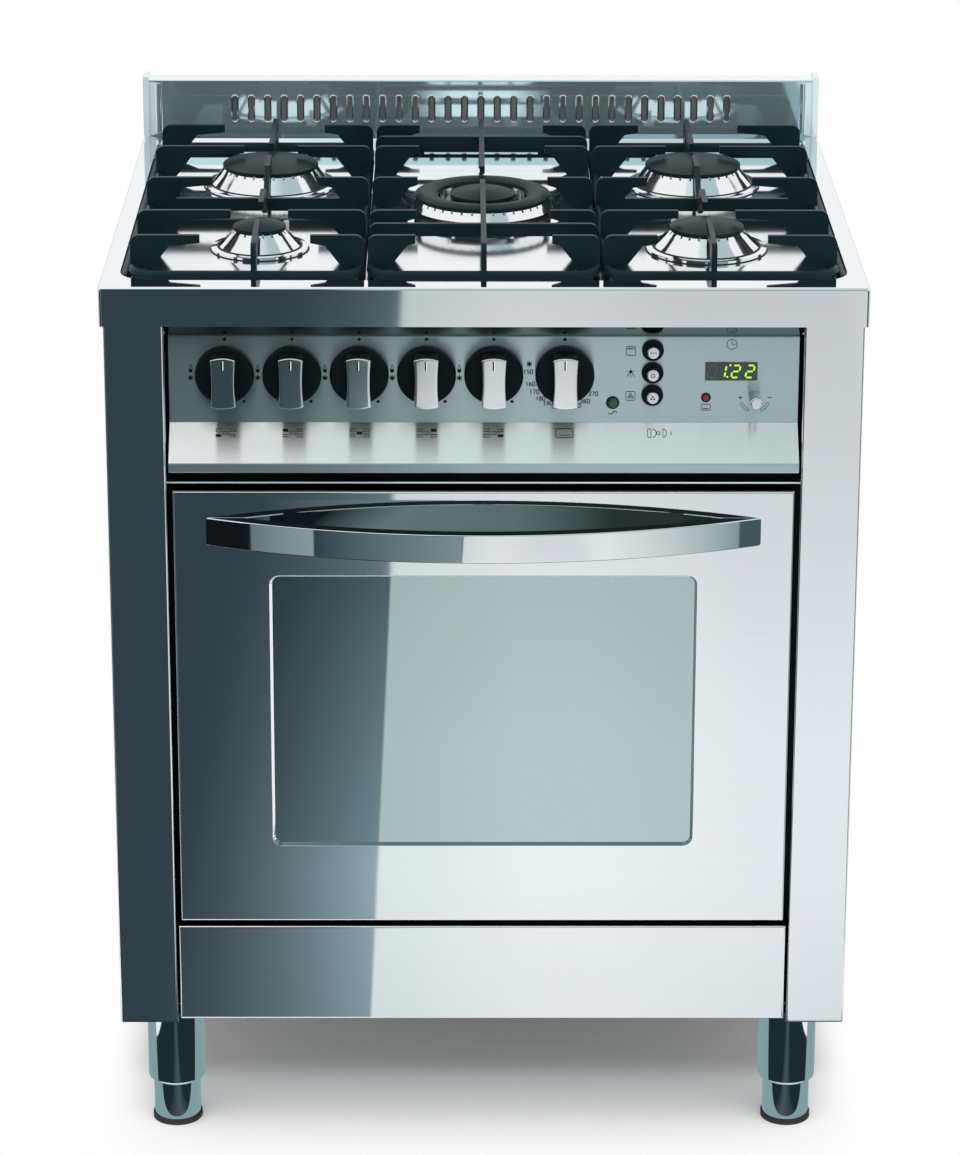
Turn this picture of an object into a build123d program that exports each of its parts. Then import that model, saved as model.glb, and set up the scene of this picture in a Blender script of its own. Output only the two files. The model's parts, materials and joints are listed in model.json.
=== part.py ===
from build123d import *
from math import cos, hypot, radians, sin, sqrt

# Range cooker: +Z up, front towards -Y, origin on the floor under the middle of the box. Millimetres.

# Overall sizes
HOB_WIDTH = 700.0
HOB_DEPTH = 600.0
HOB_HEIGHT = 855.0
HANDLE_REACH = 50.0
BODY_SETBACK = 3.0
SHEET = 1.2
BEND = 2.0
SLIDE_GAP = 0.3
SHAFT_GAP = 0.05
SLEEVE_GAP = 0.1

# Hob top and back guard
APRON_HEIGHT = 37.0
APRON_EDGE = 2.5
APRON_CORNER = 3.5
RIM_SIDE = 16.5
RIM_FRONT = 25.0
RIM_REAR = 34.0
WELL_DEPTH = 10.0
WELL_WALL = 10.0
WELL_CORNER = 30.0
GUARD_HEIGHT = 60.0
GUARD_DEPTH = 24.0
SLOT_COUNT = 31
SLOT_PITCH = 17.0
SLOT_WIDTH = 5.0
SLOT_HEIGHT = 27.0
SLOT_RISE = 29.6
CHEEK_WIDTH = 6.0
CHEEK_RISE = 3.0
CHEEK_PROUD = 2.0
BEAD_RADIUS = 4.5
BEAD_PROUD = 2.0
BEAD_INSET = 16.0
BEAD_END = 4.0

# Cabinet
BODY_INSET = 3.5
BODY_BOTTOM = 122.0
BODY_DEPTH = 552.0
COLUMN_WIDTH = 55.0
REAR_FLANGE = 25.0
UNDER_HOB_ROOM = 2.0
VENT_ROWS = 4
VENT_COLUMNS = 6
VENT_LENGTH = 60.0
VENT_HEIGHT = 5.0
VENT_PITCH_X = 85.0
VENT_PITCH_Z = 16.0
VENT_RISE = 520.0
TIP_HOLE_RADIUS = 3.0
TIP_HOLE_SPAN = 400.0
TIP_HOLE_DROP = 65.0
SCREW_RADIUS = 2.0
SCREW_HEAD_RADIUS = 4.5
SCREW_HEAD_HEIGHT = 2.5
SCREW_LENGTH = 8.0
SCREW_COUNT = 4
SCREW_END_MARGIN = 40.0

# Fascia
FASCIA_DROP = 51.0
KNOB_FACE_SETBACK = 20.0
KNOB_FACE_HEIGHT = 83.0
LEDGE_DROP = 31.0
LEDGE_REACH = 29.0
LIP_HEIGHT = 9.0
LIP_RETURN = 21.0
FASCIA_FLANGE = 16.0
FASCIA_SIDE_GAP = 3.0
CHEEK_DEPTH = 20.0
RAIL_SETBACK = 0.8
RAIL_TOP_FLANGE = 36.0
RAIL_FOOT_FLANGE = 22.0
RAIL_ROOM = 4.0
VENT_STRIP_DROP = 15.2
VENT_STRIP_THICK = 1.5
VENT_STRIP_SETBACK = 9.0

# Knobs, switches, lamps and clock: one group, measured from the fascia's middle and down from the hob rim
CONTROL_DROP = 86.0
BURNER_KNOB_NAMES = ("front_left", "rear_left", "centre", "rear_right", "front_right")
FIRST_KNOB_X = -237.0
KNOB_PITCH = 61.5
OVEN_KNOB_STEP = 65.0
COLLAR_RADIUS = 27.0
COLLAR_THICK = 9.0
COLLAR_EDGE = 2.5
KNOB_TRAVEL = 4.0
KNOB_STOP_GAP = 0.5
KNOB_STANDOFF = KNOB_TRAVEL + KNOB_STOP_GAP
SPINDLE_RADIUS = 3.0
SPINDLE_HOLE_GAP = 3.0
GRIP_LENGTH = 48.0
GRIP_DEPTH = 24.0
GRIP_WIDTH = 21.5
GRIP_WAIST = 18.5
GRIP_BULGE = 2.5
GRIP_EDGE = 1.0
GRIP_HUB_RADIUS = 5.0
GRIP_HUB_DEPTH = 5.0
NOTCH_WIDTH = 1.4
NOTCH_LENGTH = 9.0
NOTCH_DEPTH = 1.2
SWITCH_X = 154.5
SWITCH_PITCH = 21.5
SWITCH_NAMES = ("grill_button", "lamp_button", "fan_button")
BEZEL_RADIUS = 10.0
BEZEL_THICK = 3.0
BARREL_RADIUS = 7.5
BARREL_LENGTH = 26.0
BARREL_WALL = 3.0
BUTTON_RADIUS = 5.5
BUTTON_PROUD = 8.0
BUTTON_TRAVEL = 3.0
BUTTON_EDGE = 1.0
GREEN_LAMP_X = 118.3
GREEN_LAMP_DROP = 115.0
GREEN_LAMP_RADIUS = 5.0
RED_LAMP_X = 203.8
RED_LAMP_DROP = 110.0
RED_LAMP_RADIUS = 3.3
LAMP_PROUD = 2.5
LAMP_NECK = 0.7
LAMP_BODY = 12.0
DISPLAY_X = 226.6
DISPLAY_DROP = 84.8
DISPLAY_WIDTH = 48.0
DISPLAY_HEIGHT = 17.6
DISPLAY_RECESS = 0.4
CLOCK_MARGIN = 6.0
CLOCK_DEPTH = 28.0
TIMER_X = 248.7
TIMER_DROP = 109.0
TIMER_RADIUS = 5.5
TIMER_LENGTH = 22.0
TIMER_SHAFT = 2.5
TIMER_SHAFT_LENGTH = 16.0
TIMER_EDGE = 1.5
TIMER_HOUSING = 13.0

# Door
DOOR_GAP = 5.5
DOOR_SIDE_GAP = 5.0
VENT_GAP = 21.5
DOOR_DEPTH = 33.0
SEAL_GAP = 7.0
WINDOW_WIDTH = 400.0
WINDOW_HEIGHT = 275.0
WINDOW_DROP = 80.5
WINDOW_CORNER = 11.0
WINDOW_BEVEL = 4.0
GLASS = 4.0
GLASS_LAP = 8.0
INNER_WINDOW_INSET = 10.0
HANDLE_SPAN = 512.0
HANDLE_HEIGHT = 27.3
HANDLE_THICK = 5.5
HANDLE_DROP = 25.5
PIVOT_BACK = 17.0
PIVOT_UP = 14.0
PIN_RADIUS = 4.0
ARM_RADIUS = 7.0
ARM_HALF_HEIGHT = 5.0
ARM_THICK = 6.0
ARM_INSET = 26.5
EAR_THICK = 2.5
EAR_GAP = 0.5
EAR_RADIUS = 8.0
EAR_HEIGHT = 48.0
ARM_SLOT_GAP = 2.0
ARM_SLOT_ROOM = 2.5

# Drawer and base
DRAWER_LIFT = 3.5
DRAWER_HEIGHT = 97.0
DRAWER_SIDE_GAP = 2.5
DRAWER_FLANGE = 5.0
TRAY_HALF_WIDTH = 262.0
TRAY_DEPTH = 470.0
TRAY_TOP_DROP = 17.5
RUNNER_HEIGHT = 11.5
RUNNER_WIDTH = 24.0
GUIDE_THICK = 2.0
GUIDE_HEIGHT = 36.0
GUIDE_GAP = 0.5

# Feet
LEG_X = 297.0
LEG_FRONT = 50.0
LEG_REAR = 505.0
SLEEVE_RADIUS = 27.5
SLEEVE_LENGTH = 78.0
SLEEVE_TOP = 3.0
SLEEVE_EDGE = 3.0
FOOT_RADIUS = 22.5
FOOT_PAD_RADIUS = 24.0
FOOT_PAD_HEIGHT = 5.0

# Oven
OVEN_WIDTH = 470.0
OVEN_HEIGHT = 340.0
OVEN_DEPTH = 426.0
OVEN_LIFT = 37.0
FRAME_LAP = 8.5
FRAME_FOOT = 7.0
FRAME_CORNER = 10.0
SEAL_WIDTH = 6.0
SEAL_MARGIN = 1.5
BLANKET = 25.0
BLANKET_SETBACK = 2.0
LADDER_ROD = 3.0
LADDER_PEG = 2.5
LADDER_PEGS = (65.0, 245.0)
LADDER_STEP = 4.0
LADDER_INSET = 10.0
LADDER_FRONT = 30.0
LADDER_REAR = 45.0
LADDER_LEVELS = (35.0, 95.0, 155.0, 215.0, 275.0)
LADDER_FOOT = 12.0
LADDER_HEAD = 300.0
RACK_LEVEL = 155.0
RACK_ROD = 3.0
RACK_WIRE = 2.0
RACK_WIRES = 11
RACK_SETBACK = 22.0
RACK_DEPTH = 378.0
GRILL_ROD = 3.5
GRILL_DROP = 20.0
GRILL_RUNS = 6
GRILL_PITCH = 60.0
GRILL_FRONT = 60.0
GRILL_TURN = 25.0
BAFFLE_WIDTH = 300.0
BAFFLE_HEIGHT = 200.0
BAFFLE_GAP = 17.0
BAFFLE_POST = 4.0
BAFFLE_POST_INSET = 15.0
BAFFLE_INTAKE = 7.0
BAFFLE_INTAKES = 8
BAFFLE_INTAKE_RING = 40.0
FAN_RADIUS = 60.0
FAN_HUB = 12.0
FAN_DISC = 1.5
FAN_BLADE_DEPTH = 9.0
FAN_BLADE_THICK = 1.5
FAN_BLADES = 8
FAN_WALL_GAP = 3.0
FAN_SHAFT = 4.0
FAN_SHAFT_HOLE = 8.0
FAN_SHAFT_LENGTH = 30.0
MOTOR_RADIUS = 35.0
MOTOR_LENGTH = 40.0
MOTOR_FLANGE_RADIUS = 48.0
MOTOR_FLANGE = 3.0
OVEN_LAMP_X = 190.0
OVEN_LAMP_DROP = 50.0
OVEN_LAMP_RADIUS = 25.0
OVEN_LAMP_RIM = 3.0
OVEN_LAMP_DOME = 14.0
OVEN_LAMP_BARREL = 18.0
OVEN_LAMP_BODY = 35.0
OVEN_BURNER_RADIUS = 10.0
OVEN_BURNER_DROP = 17.0
OVEN_BURNER_FRONT = 50.0
OVEN_BURNER_LENGTH = 330.0
OVEN_BURNER_POST = 4.0

# Burners: place from the middle and behind the apron's front, then cap, base and cup radius
BURNERS = {
    "front_left": (-211.0, 170.0, 25.0, 46.0, 20.0),
    "rear_left": (-211.0, 410.0, 47.5, 66.0, 32.0),
    "rear_right": (211.0, 410.0, 47.5, 66.0, 32.0),
    "front_right": (211.0, 170.0, 35.0, 57.0, 25.0),
}
SMALL_SLOT_COUNT = 18
MEDIUM_SLOT_COUNT = 24
LARGE_SLOT_COUNT = 30
CENTRE_BURNER = (0.0, 292.0)
CENTRE_BASE = 80.0
CENTRE_WALL = 69.5
CENTRE_WALL_HEIGHT = 11.0
CENTRE_CUP = 36.0
RING_OUTER = 65.5
RING_INNER = 45.0
INNER_CAP = 31.5
CENTRE_SLOT_COUNT = 40
BASE_RING = 3.0
BASE_STEP = 7.0
BASE_LIP = 1.0
CROWN_HEIGHT = 20.0
CAP_LAP = 1.5
CAP_EDGE = 3.0
CAP_DOME = 9.0
RING_CAP_HEIGHT = 6.0
INNER_RISE = 0.5
CUP_DEPTH = 38.0
CUP_GAP = 0.5
FLAME_SLOT_WIDTH = 2.0
FLAME_SLOT_HEIGHT = 6.0
FLAME_SLOT_DEPTH = 5.0
PLUG_RADIUS = 2.5
PLUG_GAP = 4.0
PLUG_TURN = 65.0
PLUG_RISE = 14.0
PLUG_TAIL = 22.0
PLUG_COLLAR_RADIUS = 5.0
PLUG_COLLAR = 3.0

# Grates
GRATE_OUTER = 327.0
GRATE_INNER = 109.5
GRATE_CENTRE = 108.0
GRATE_FRONT = 45.0
GRATE_REAR = 545.0
GRATE_BAR = 5.0
GRATE_CORNER = 22.0
GRATE_DROP = 3.0
GRATE_RISE = 28.0
FIN_THICK = 5.0
FIN_INSET = 1.0
FIN_CORNER = 8.0
FIN_TIP = 7.5
FIN_SLOPE_START = 36.0
FIN_BASE = 20.0
FIN_NECK = 2.5
FIN_ROWS = (80.0, 170.0, 295.0, 421.0, 510.0)
LONG_ROWS = (170.0, 421.0)
MID_ROW = 295.0
LONG_FIN_GAP = 27.0
SHORT_FIN_GAP = 51.0
CENTRE_FIN = 44.0
CENTRE_BARS = (122.0, 462.0)
CENTRE_BAR_HEIGHT = 12.0
CENTRE_FIN_GAP = (288.0, 338.0)
FRONT_FIN_TIP = 138.0
REAR_FIN_TIP = 431.0
MID_FIN_TIPS = (200.0, 384.0)
MID_FIN_SHOULDERS = (250.0, 340.0)
CROSS_RISE = 7.0
MID_FOOT = 20.0
GRATE_PAD_RADIUS = 4.5
GRATE_PAD_INSET = 45.0

# Gas pipes and taps
TAP_SETBACK = 50.0
TAP_DEPTH = 20.0
TAP_WIDTH = 22.0
TAP_HEIGHT = 28.0
TAP_NOSE = 7.0
TAP_OUTLET = 6.0
TAP_OUTLET_RISE = 3.0
TAP_BORE_END = 3.0
PIPE_RADIUS = 3.0
PIPE_BEND = 5.0
PIPE_LEVEL = 6.0
PIPE_STEP = 7.0
MANIFOLD_RADIUS = 8.0
MANIFOLD_BEND = 30.0
MANIFOLD_OVERHANG = 25.0
SUPPLY_X = 300.0
INLET_RADIUS = 10.48
INLET_LENGTH = 26.0
INLET_NUT_RADIUS = 15.0
INLET_NUT = 6.0
INLET_HOLE_GAP = 2.0
OVEN_PIPE_DROP = 55.0
OVEN_PIPE_GAP = 20.8

# Mains terminal box
BOX_INSET = 96.5
BOX_DROP = 120.0
BOX_WIDTH = 60.0
BOX_HEIGHT = 45.0
BOX_DEPTH = 33.0
GLAND_RADIUS = 13.0
GLAND_LENGTH = 25.0
GLAND_BORE = 6.0
GLAND_BORE_DEPTH = 30.0

# Places worked out from the sizes above
BACK = (HOB_DEPTH + HANDLE_REACH - BODY_SETBACK) / 2
FRONT = BACK - HOB_DEPTH
FACE = FRONT + BODY_SETBACK
DOOR_BACK = FACE + DOOR_DEPTH
FRAME = DOOR_BACK + SEAL_GAP
REAR = FACE + BODY_DEPTH
BODY_HALF = HOB_WIDTH / 2 - BODY_INSET
INNER_HALF = BODY_HALF - COLUMN_WIDTH
WELL_FLOOR = HOB_HEIGHT - WELL_DEPTH
UNDER_WELL = WELL_FLOOR - SHEET - UNDER_HOB_ROOM
WELL_HALF = HOB_WIDTH / 2 - RIM_SIDE
KNOB_FACE = FRONT + KNOB_FACE_SETBACK
KNOB_FACE_BACK = KNOB_FACE + SHEET
CONTROL_Z = HOB_HEIGHT - CONTROL_DROP
FASCIA_TOP = HOB_HEIGHT - FASCIA_DROP
LEDGE_TOP = FASCIA_TOP - KNOB_FACE_HEIGHT
LEDGE_FOOT = LEDGE_TOP - LEDGE_DROP
LIP_FOOT = LEDGE_FOOT - LIP_HEIGHT
LIP = KNOB_FACE - LEDGE_REACH
FASCIA_HALF = INNER_HALF - FASCIA_SIDE_GAP
RAIL = KNOB_FACE_BACK + RAIL_SETBACK
RAIL_TOP = WELL_FLOOR - SHEET - RAIL_ROOM
DRAWER_BOTTOM = BODY_BOTTOM + DRAWER_LIFT
DRAWER_TOP = DRAWER_BOTTOM + DRAWER_HEIGHT
DRAWER_HALF = INNER_HALF - DRAWER_SIDE_GAP
DOOR_BOTTOM = DRAWER_TOP + DOOR_GAP
DOOR_TOP = LIP_FOOT - VENT_GAP
DOOR_HALF = INNER_HALF - DOOR_SIDE_GAP
WINDOW_Z = DOOR_TOP - WINDOW_DROP - WINDOW_HEIGHT / 2
HANDLE_TOP = DOOR_TOP - HANDLE_DROP
PIVOT_Y = FACE + PIVOT_BACK
PIVOT_Z = DOOR_BOTTOM + PIVOT_UP
ARM_X = DOOR_HALF - ARM_INSET
OVEN_HALF = OVEN_WIDTH / 2
OVEN_FRONT = FRAME + SHEET
OVEN_BACK = OVEN_FRONT + OVEN_DEPTH
OVEN_FLOOR = DOOR_BOTTOM + OVEN_LIFT
OVEN_ROOF = OVEN_FLOOR + OVEN_HEIGHT
FAN_Z = (OVEN_FLOOR + OVEN_ROOF) / 2
CUP_FOOT = WELL_FLOOR - CUP_DEPTH
TAP_FRONT = FRONT + TAP_SETBACK
TAP_BACK = TAP_FRONT + TAP_DEPTH
TAP_Y = (TAP_FRONT + TAP_BACK) / 2
MANIFOLD_Y = TAP_BACK + MANIFOLD_RADIUS
RUNNER_TOP = BODY_BOTTOM + SHEET + RUNNER_HEIGHT
LEGS = [(x, FRONT + y) for x in (-LEG_X, LEG_X) for y in (LEG_FRONT, LEG_REAR)]
SCREW_STEP = (UNDER_WELL - BODY_BOTTOM - 2 * SCREW_END_MARGIN) / (SCREW_COUNT - 1)
SCREW_ROWS = [BODY_BOTTOM + SCREW_END_MARGIN + i * SCREW_STEP for i in range(SCREW_COUNT)]
SCREWS = [(side * (BODY_HALF - REAR_FLANGE / 2), z) for side in (-1, 1) for z in SCREW_ROWS]
BURNER_KNOBS = {name: FIRST_KNOB_X + i * KNOB_PITCH for i, name in enumerate(BURNER_KNOB_NAMES)}
OVEN_KNOB_X = max(BURNER_KNOBS.values()) + OVEN_KNOB_STEP
KNOBS = {**BURNER_KNOBS, "oven": OVEN_KNOB_X}
GREEN_LAMP = (GREEN_LAMP_X, GREEN_LAMP_DROP, GREEN_LAMP_RADIUS)
RED_LAMP = (RED_LAMP_X, RED_LAMP_DROP, RED_LAMP_RADIUS)
BOX_X = BOX_INSET - BODY_HALF
SLOT_COUNTS = {
    "front_left": SMALL_SLOT_COUNT,
    "rear_left": LARGE_SLOT_COUNT,
    "rear_right": LARGE_SLOT_COUNT,
    "front_right": MEDIUM_SLOT_COUNT,
}
OVEN_PIPE_X = OVEN_HALF + SHEET + BLANKET + PIPE_RADIUS + OVEN_PIPE_GAP


# Helpers

def block(x, y, z):
    """Box between the lowest and highest x, y and z."""
    spans = (x, y, z)
    sizes = [high - low for low, high in spans]
    middles = [(high + low) / 2 for low, high in spans]
    return Pos(*middles) * Box(*sizes)


def rod(radius, start, end):
    """Round bar from one point to another."""
    along = Vector(*end) - Vector(*start)
    seat = (Align.CENTER, Align.CENTER, Align.MIN)
    return Plane(origin=start, z_dir=along) * Cylinder(radius, along.length, align=seat)


def pipe(radius, bend, points):
    """Round bar along straight runs joined by bends."""
    path = FilletPolyline(*points, radius=bend)
    return sweep(Plane(origin=path @ 0, z_dir=path % 0) * Circle(radius), path=path)


def left_of(start, end):
    """Unit direction to the left of a run in its own plane."""
    run = (end[0] - start[0], end[1] - start[1])
    length = hypot(*run)
    return (-run[1] / length, run[0] / length)


def inner_side(points, thickness):
    """Corners of a path moved to its left by the thickness."""
    moved = []
    for i, (u, v) in enumerate(points):
        before = left_of(points[i - 1], points[i]) if i > 0 else left_of(points[0], points[1])
        after = left_of(points[i], points[i + 1]) if i < len(points) - 1 else before
        share = thickness / (1 + before[0] * after[0] + before[1] * after[1])
        moved.append((u + share * (before[0] + after[0]), v + share * (before[1] + after[1])))
    return moved


def bent_sheet(points, bend, place):
    """Section of a bent sheet whose outer side follows the points; place puts a point into space."""
    outer_bends = []
    inner_bends = []
    for a, b, c in zip(points, points[1:], points[2:]):
        turn = (b[0] - a[0]) * (c[1] - b[1]) - (b[1] - a[1]) * (c[0] - b[0])
        outer_bends.append(bend if turn > 0 else bend - SHEET)
        inner_bends.append(bend - SHEET if turn > 0 else bend)
    outer = FilletPolyline(*[place(*p) for p in points], radius=outer_bends)
    inner = FilletPolyline(*[place(*p) for p in inner_side(points, SHEET)], radius=inner_bends)
    ends = [Line(outer @ 1, inner @ 1), Line(inner @ 0, outer @ 0)]
    return make_face(outer.edges() + inner.edges() + ends)


def side_on(y, z):
    return (0, y, z)


def plan_on(x, y):
    return (x, y, 0)


def along_x(face, low, high):
    """Carries a section in the YZ plane between two places on X."""
    return Pos(low, 0, 0) * extrude(face, amount=high - low, dir=(1, 0, 0))


def upright_plate(width, height, corner, x, z, front, back):
    """Rounded upright plate, as wide and high as given, between two places on Y."""
    plane = Plane(origin=(x, front, z), x_dir=(1, 0, 0), z_dir=(0, -1, 0))
    face = plane * RectangleRounded(width, height, corner)
    return extrude(face, amount=back - front, dir=(0, 1, 0))


def turned(points):
    """Solid of revolution round Z from points of radius and height."""
    face = make_face(Polyline(*[(r, 0, z) for r, z in points], close=True))
    return revolve(face, axis=Axis.Z)


def mirrored(part):
    return mirror(part, about=Plane.YZ)


def save(name, *solids):
    """Writes one node, as one solid or as a group of separate ones."""
    pieces = [s for part in solids for s in part.solids()]
    shape = pieces[0] if len(pieces) == 1 else Compound(children=pieces)
    export_step(shape, f"parts/{name}.step")


# Hob top and back guard

def well_section(z, inset, grow):
    """Rounded outline of the well at a height, drawn in by the inset and grown by the sheet."""
    width = 2 * (WELL_HALF - inset + grow)
    front = FRONT + RIM_FRONT + inset - grow
    back = BACK - RIM_REAR - inset + grow
    corner = WELL_CORNER - inset + grow
    return Pos(0, (front + back) / 2, z) * RectangleRounded(width, back - front, corner)


def hob_top():
    foot = HOB_HEIGHT - APRON_HEIGHT
    outline = Pos(0, (FRONT + BACK) / 2, foot) * RectangleRounded(HOB_WIDTH, HOB_DEPTH, APRON_CORNER)
    outer = extrude(outline, amount=APRON_HEIGHT)
    outer = fillet(outer.faces().sort_by(Axis.Z)[-1].edges(), APRON_EDGE)
    half = HOB_WIDTH / 2 - SHEET
    sheet_top = HOB_HEIGHT - SHEET
    hollow = block((-half, half), (FRONT + SHEET, BACK - SHEET), (foot - APRON_HEIGHT, sheet_top))
    under = loft([well_section(sheet_top, 0, SHEET), well_section(WELL_FLOOR - SHEET, WELL_WALL, SHEET)])
    well = loft([well_section(HOB_HEIGHT, 0, 0), well_section(WELL_FLOOR, WELL_WALL, 0)])
    top = outer - hollow + under - well
    depth = (WELL_FLOOR - 2 * WELL_DEPTH, HOB_HEIGHT)
    holes = []
    for x, y, _, _, cup in BURNERS.values():
        holes.append(rod(cup + CUP_GAP, (x, FRONT + y, depth[0]), (x, FRONT + y, depth[1])))
    centre = (CENTRE_BURNER[0], FRONT + CENTRE_BURNER[1])
    holes.append(rod(CENTRE_CUP + CUP_GAP, (*centre, depth[0]), (*centre, depth[1])))
    for x, y in plug_places():
        holes.append(rod(PLUG_RADIUS + SHAFT_GAP, (x, y, depth[0]), (x, y, depth[1])))
    return top - holes


def back_guard():
    half = HOB_WIDTH / 2
    front = BACK - GUARD_DEPTH
    top = HOB_HEIGHT + GUARD_HEIGHT
    shell = block((-half, half), (front, BACK), (HOB_HEIGHT, top))
    shell = fillet(shell.edges().filter_by(Axis.X).sort_by(Axis.Z)[-2:], BEND)
    inside = (-half + CHEEK_WIDTH, half - CHEEK_WIDTH)
    shell -= block(inside, (front + SHEET, BACK - SHEET), (HOB_HEIGHT - GUARD_HEIGHT, top - SHEET))
    slot = Plane(origin=(0, 0, 0), x_dir=(0, 0, 1), z_dir=(0, -1, 0)) * SlotOverall(SLOT_HEIGHT, SLOT_WIDTH)
    cutter = extrude(slot, amount=GUARD_DEPTH, both=True)
    first = -SLOT_PITCH * (SLOT_COUNT - 1) / 2
    reach = front - GUARD_DEPTH + 2 * SHEET
    slot_z = HOB_HEIGHT + SLOT_RISE
    shell -= [Pos(first + i * SLOT_PITCH, reach, slot_z) * cutter for i in range(SLOT_COUNT)]
    for side in (-1, 1):
        edges = sorted((side * half, side * (half - CHEEK_WIDTH)))
        shell += block(edges, (front - CHEEK_PROUD, BACK), (HOB_HEIGHT, top + CHEEK_RISE))
        x = side * (half - BEAD_INSET)
        y = front + BEAD_RADIUS - BEAD_PROUD
        bead = rod(BEAD_RADIUS, (x, y, HOB_HEIGHT + BEAD_END), (x, y, top - BEAD_END))
        room = (x - BEAD_RADIUS, x + BEAD_RADIUS)
        shell += bead & block(room, (front - BEAD_PROUD, front + SHEET), (HOB_HEIGHT, top))
    return shell


# Cabinet

def side_panel():
    """Left side: rear flange, side, front column and its return, folded from one sheet."""
    path = [
        (-BODY_HALF + REAR_FLANGE, REAR),
        (-BODY_HALF, REAR),
        (-BODY_HALF, FACE),
        (-INNER_HALF, FACE),
        (-INNER_HALF, FRAME),
    ]
    face = bent_sheet(path, BEND, plan_on)
    panel = Pos(0, 0, BODY_BOTTOM) * extrude(face, amount=HOB_HEIGHT - SHEET - BODY_BOTTOM, dir=(0, 0, 1))
    under_well = block((-WELL_HALF - 2 * SHEET, 0), (FACE - SHEET, REAR + SHEET), (UNDER_WELL, HOB_HEIGHT))
    return panel - under_well


def drilled(panel, side):
    """Panel with the screw holes of its rear flange."""
    holes = [screw_hole(x, z) for x, z in SCREWS if x * side > 0]
    return panel - holes


def screw_hole(x, z):
    return rod(SCREW_RADIUS + SHAFT_GAP, (x, REAR - 2 * SHEET, z), (x, REAR + 2 * SHEET, z))


def rear_panel():
    panel = block((-BODY_HALF, BODY_HALF), (REAR, REAR + SHEET), (BODY_BOTTOM, UNDER_WELL))
    cuts = [screw_hole(x, z) for x, z in SCREWS]
    for row in range(VENT_ROWS):
        for column in range(VENT_COLUMNS):
            x = (column - (VENT_COLUMNS - 1) / 2) * VENT_PITCH_X
            z = VENT_RISE + row * VENT_PITCH_Z
            size = (VENT_LENGTH, VENT_HEIGHT, VENT_HEIGHT / 2 - SHAFT_GAP)
            cuts.append(upright_plate(*size, x, z, REAR - SHEET, REAR + 2 * SHEET))
    for side in (-1, 1):
        x = side * TIP_HOLE_SPAN / 2
        z = HOB_HEIGHT - TIP_HOLE_DROP
        cuts.append(rod(TIP_HOLE_RADIUS, (x, REAR - SHEET, z), (x, REAR + 2 * SHEET, z)))
    hole = INLET_RADIUS + INLET_HOLE_GAP
    cuts.append(rod(hole, (SUPPLY_X, REAR - SHEET, CONTROL_Z), (SUPPLY_X, REAR + 2 * SHEET, CONTROL_Z)))
    return panel - cuts


def rear_screws():
    screws = []
    for x, z in SCREWS:
        head = rod(SCREW_HEAD_RADIUS, (x, REAR + SHEET, z), (x, REAR + SHEET + SCREW_HEAD_HEIGHT, z))
        shank = rod(SCREW_RADIUS, (x, REAR + SHEET - SCREW_LENGTH, z), (x, REAR + SHEET, z))
        screws.append(head + shank)
    return screws


def base_pan():
    """Floor sheet, then a bearer and a guide strip for each side of the drawer, as separate solids."""
    half = BODY_HALF - SHEET
    floor_top = BODY_BOTTOM + SHEET
    pieces = [block((-half, half), (FRAME, REAR - BEND), (BODY_BOTTOM, floor_top))]
    inner = TRAY_HALF_WIDTH + GUIDE_GAP
    length = (FRAME, FRAME + TRAY_DEPTH)
    for side in (-1, 1):
        bearer = sorted((side * (inner + GUIDE_THICK - RUNNER_WIDTH), side * inner))
        guide = sorted((side * inner, side * (inner + GUIDE_THICK)))
        pieces.append(block(bearer, length, (floor_top, RUNNER_TOP)))
        pieces.append(block(guide, length, (floor_top, BODY_BOTTOM + GUIDE_HEIGHT)))
    return pieces


# Fascia and the rails beside it

def control_panel():
    path = [
        (KNOB_FACE + FASCIA_FLANGE, FASCIA_TOP),
        (KNOB_FACE, FASCIA_TOP),
        (KNOB_FACE, LEDGE_TOP),
        (LIP, LEDGE_FOOT),
        (LIP, LIP_FOOT),
        (LIP + LIP_RETURN, LIP_FOOT),
    ]
    panel = along_x(bent_sheet(path, BEND, side_on), -FASCIA_HALF, FASCIA_HALF)
    inner = inner_side(path, SHEET)[1:-1]
    cheek = [(KNOB_FACE + CHEEK_DEPTH, inner[0][1]), *inner, (KNOB_FACE + CHEEK_DEPTH, inner[-1][1])]
    cheek_face = make_face(Polyline(*[side_on(*p) for p in cheek], close=True))
    panel += along_x(cheek_face, -FASCIA_HALF, -FASCIA_HALF + SHEET)
    panel += along_x(cheek_face, FASCIA_HALF - SHEET, FASCIA_HALF)
    span = (KNOB_FACE - SHEET, KNOB_FACE + 2 * SHEET)
    cuts = []
    for x in KNOBS.values():
        hole = SPINDLE_RADIUS + SPINDLE_HOLE_GAP
        cuts.append(rod(hole, (x, span[0], CONTROL_Z), (x, span[1], CONTROL_Z)))
    for z in switch_heights():
        cuts.append(rod(BARREL_RADIUS + SHAFT_GAP, (SWITCH_X, span[0], z), (SWITCH_X, span[1], z)))
    for x, drop, radius in (GREEN_LAMP, RED_LAMP):
        z = HOB_HEIGHT - drop
        cuts.append(rod(LAMP_NECK * radius + SHAFT_GAP, (x, span[0], z), (x, span[1], z)))
    timer_z = HOB_HEIGHT - TIMER_DROP
    cuts.append(rod(TIMER_SHAFT + SLIDE_GAP, (TIMER_X, span[0], timer_z), (TIMER_X, span[1], timer_z)))
    half = DISPLAY_WIDTH / 2
    tall = DISPLAY_HEIGHT / 2
    z = HOB_HEIGHT - DISPLAY_DROP
    cuts.append(block((DISPLAY_X - half, DISPLAY_X + half), span, (z - tall, z + tall)))
    return panel - cuts


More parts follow.
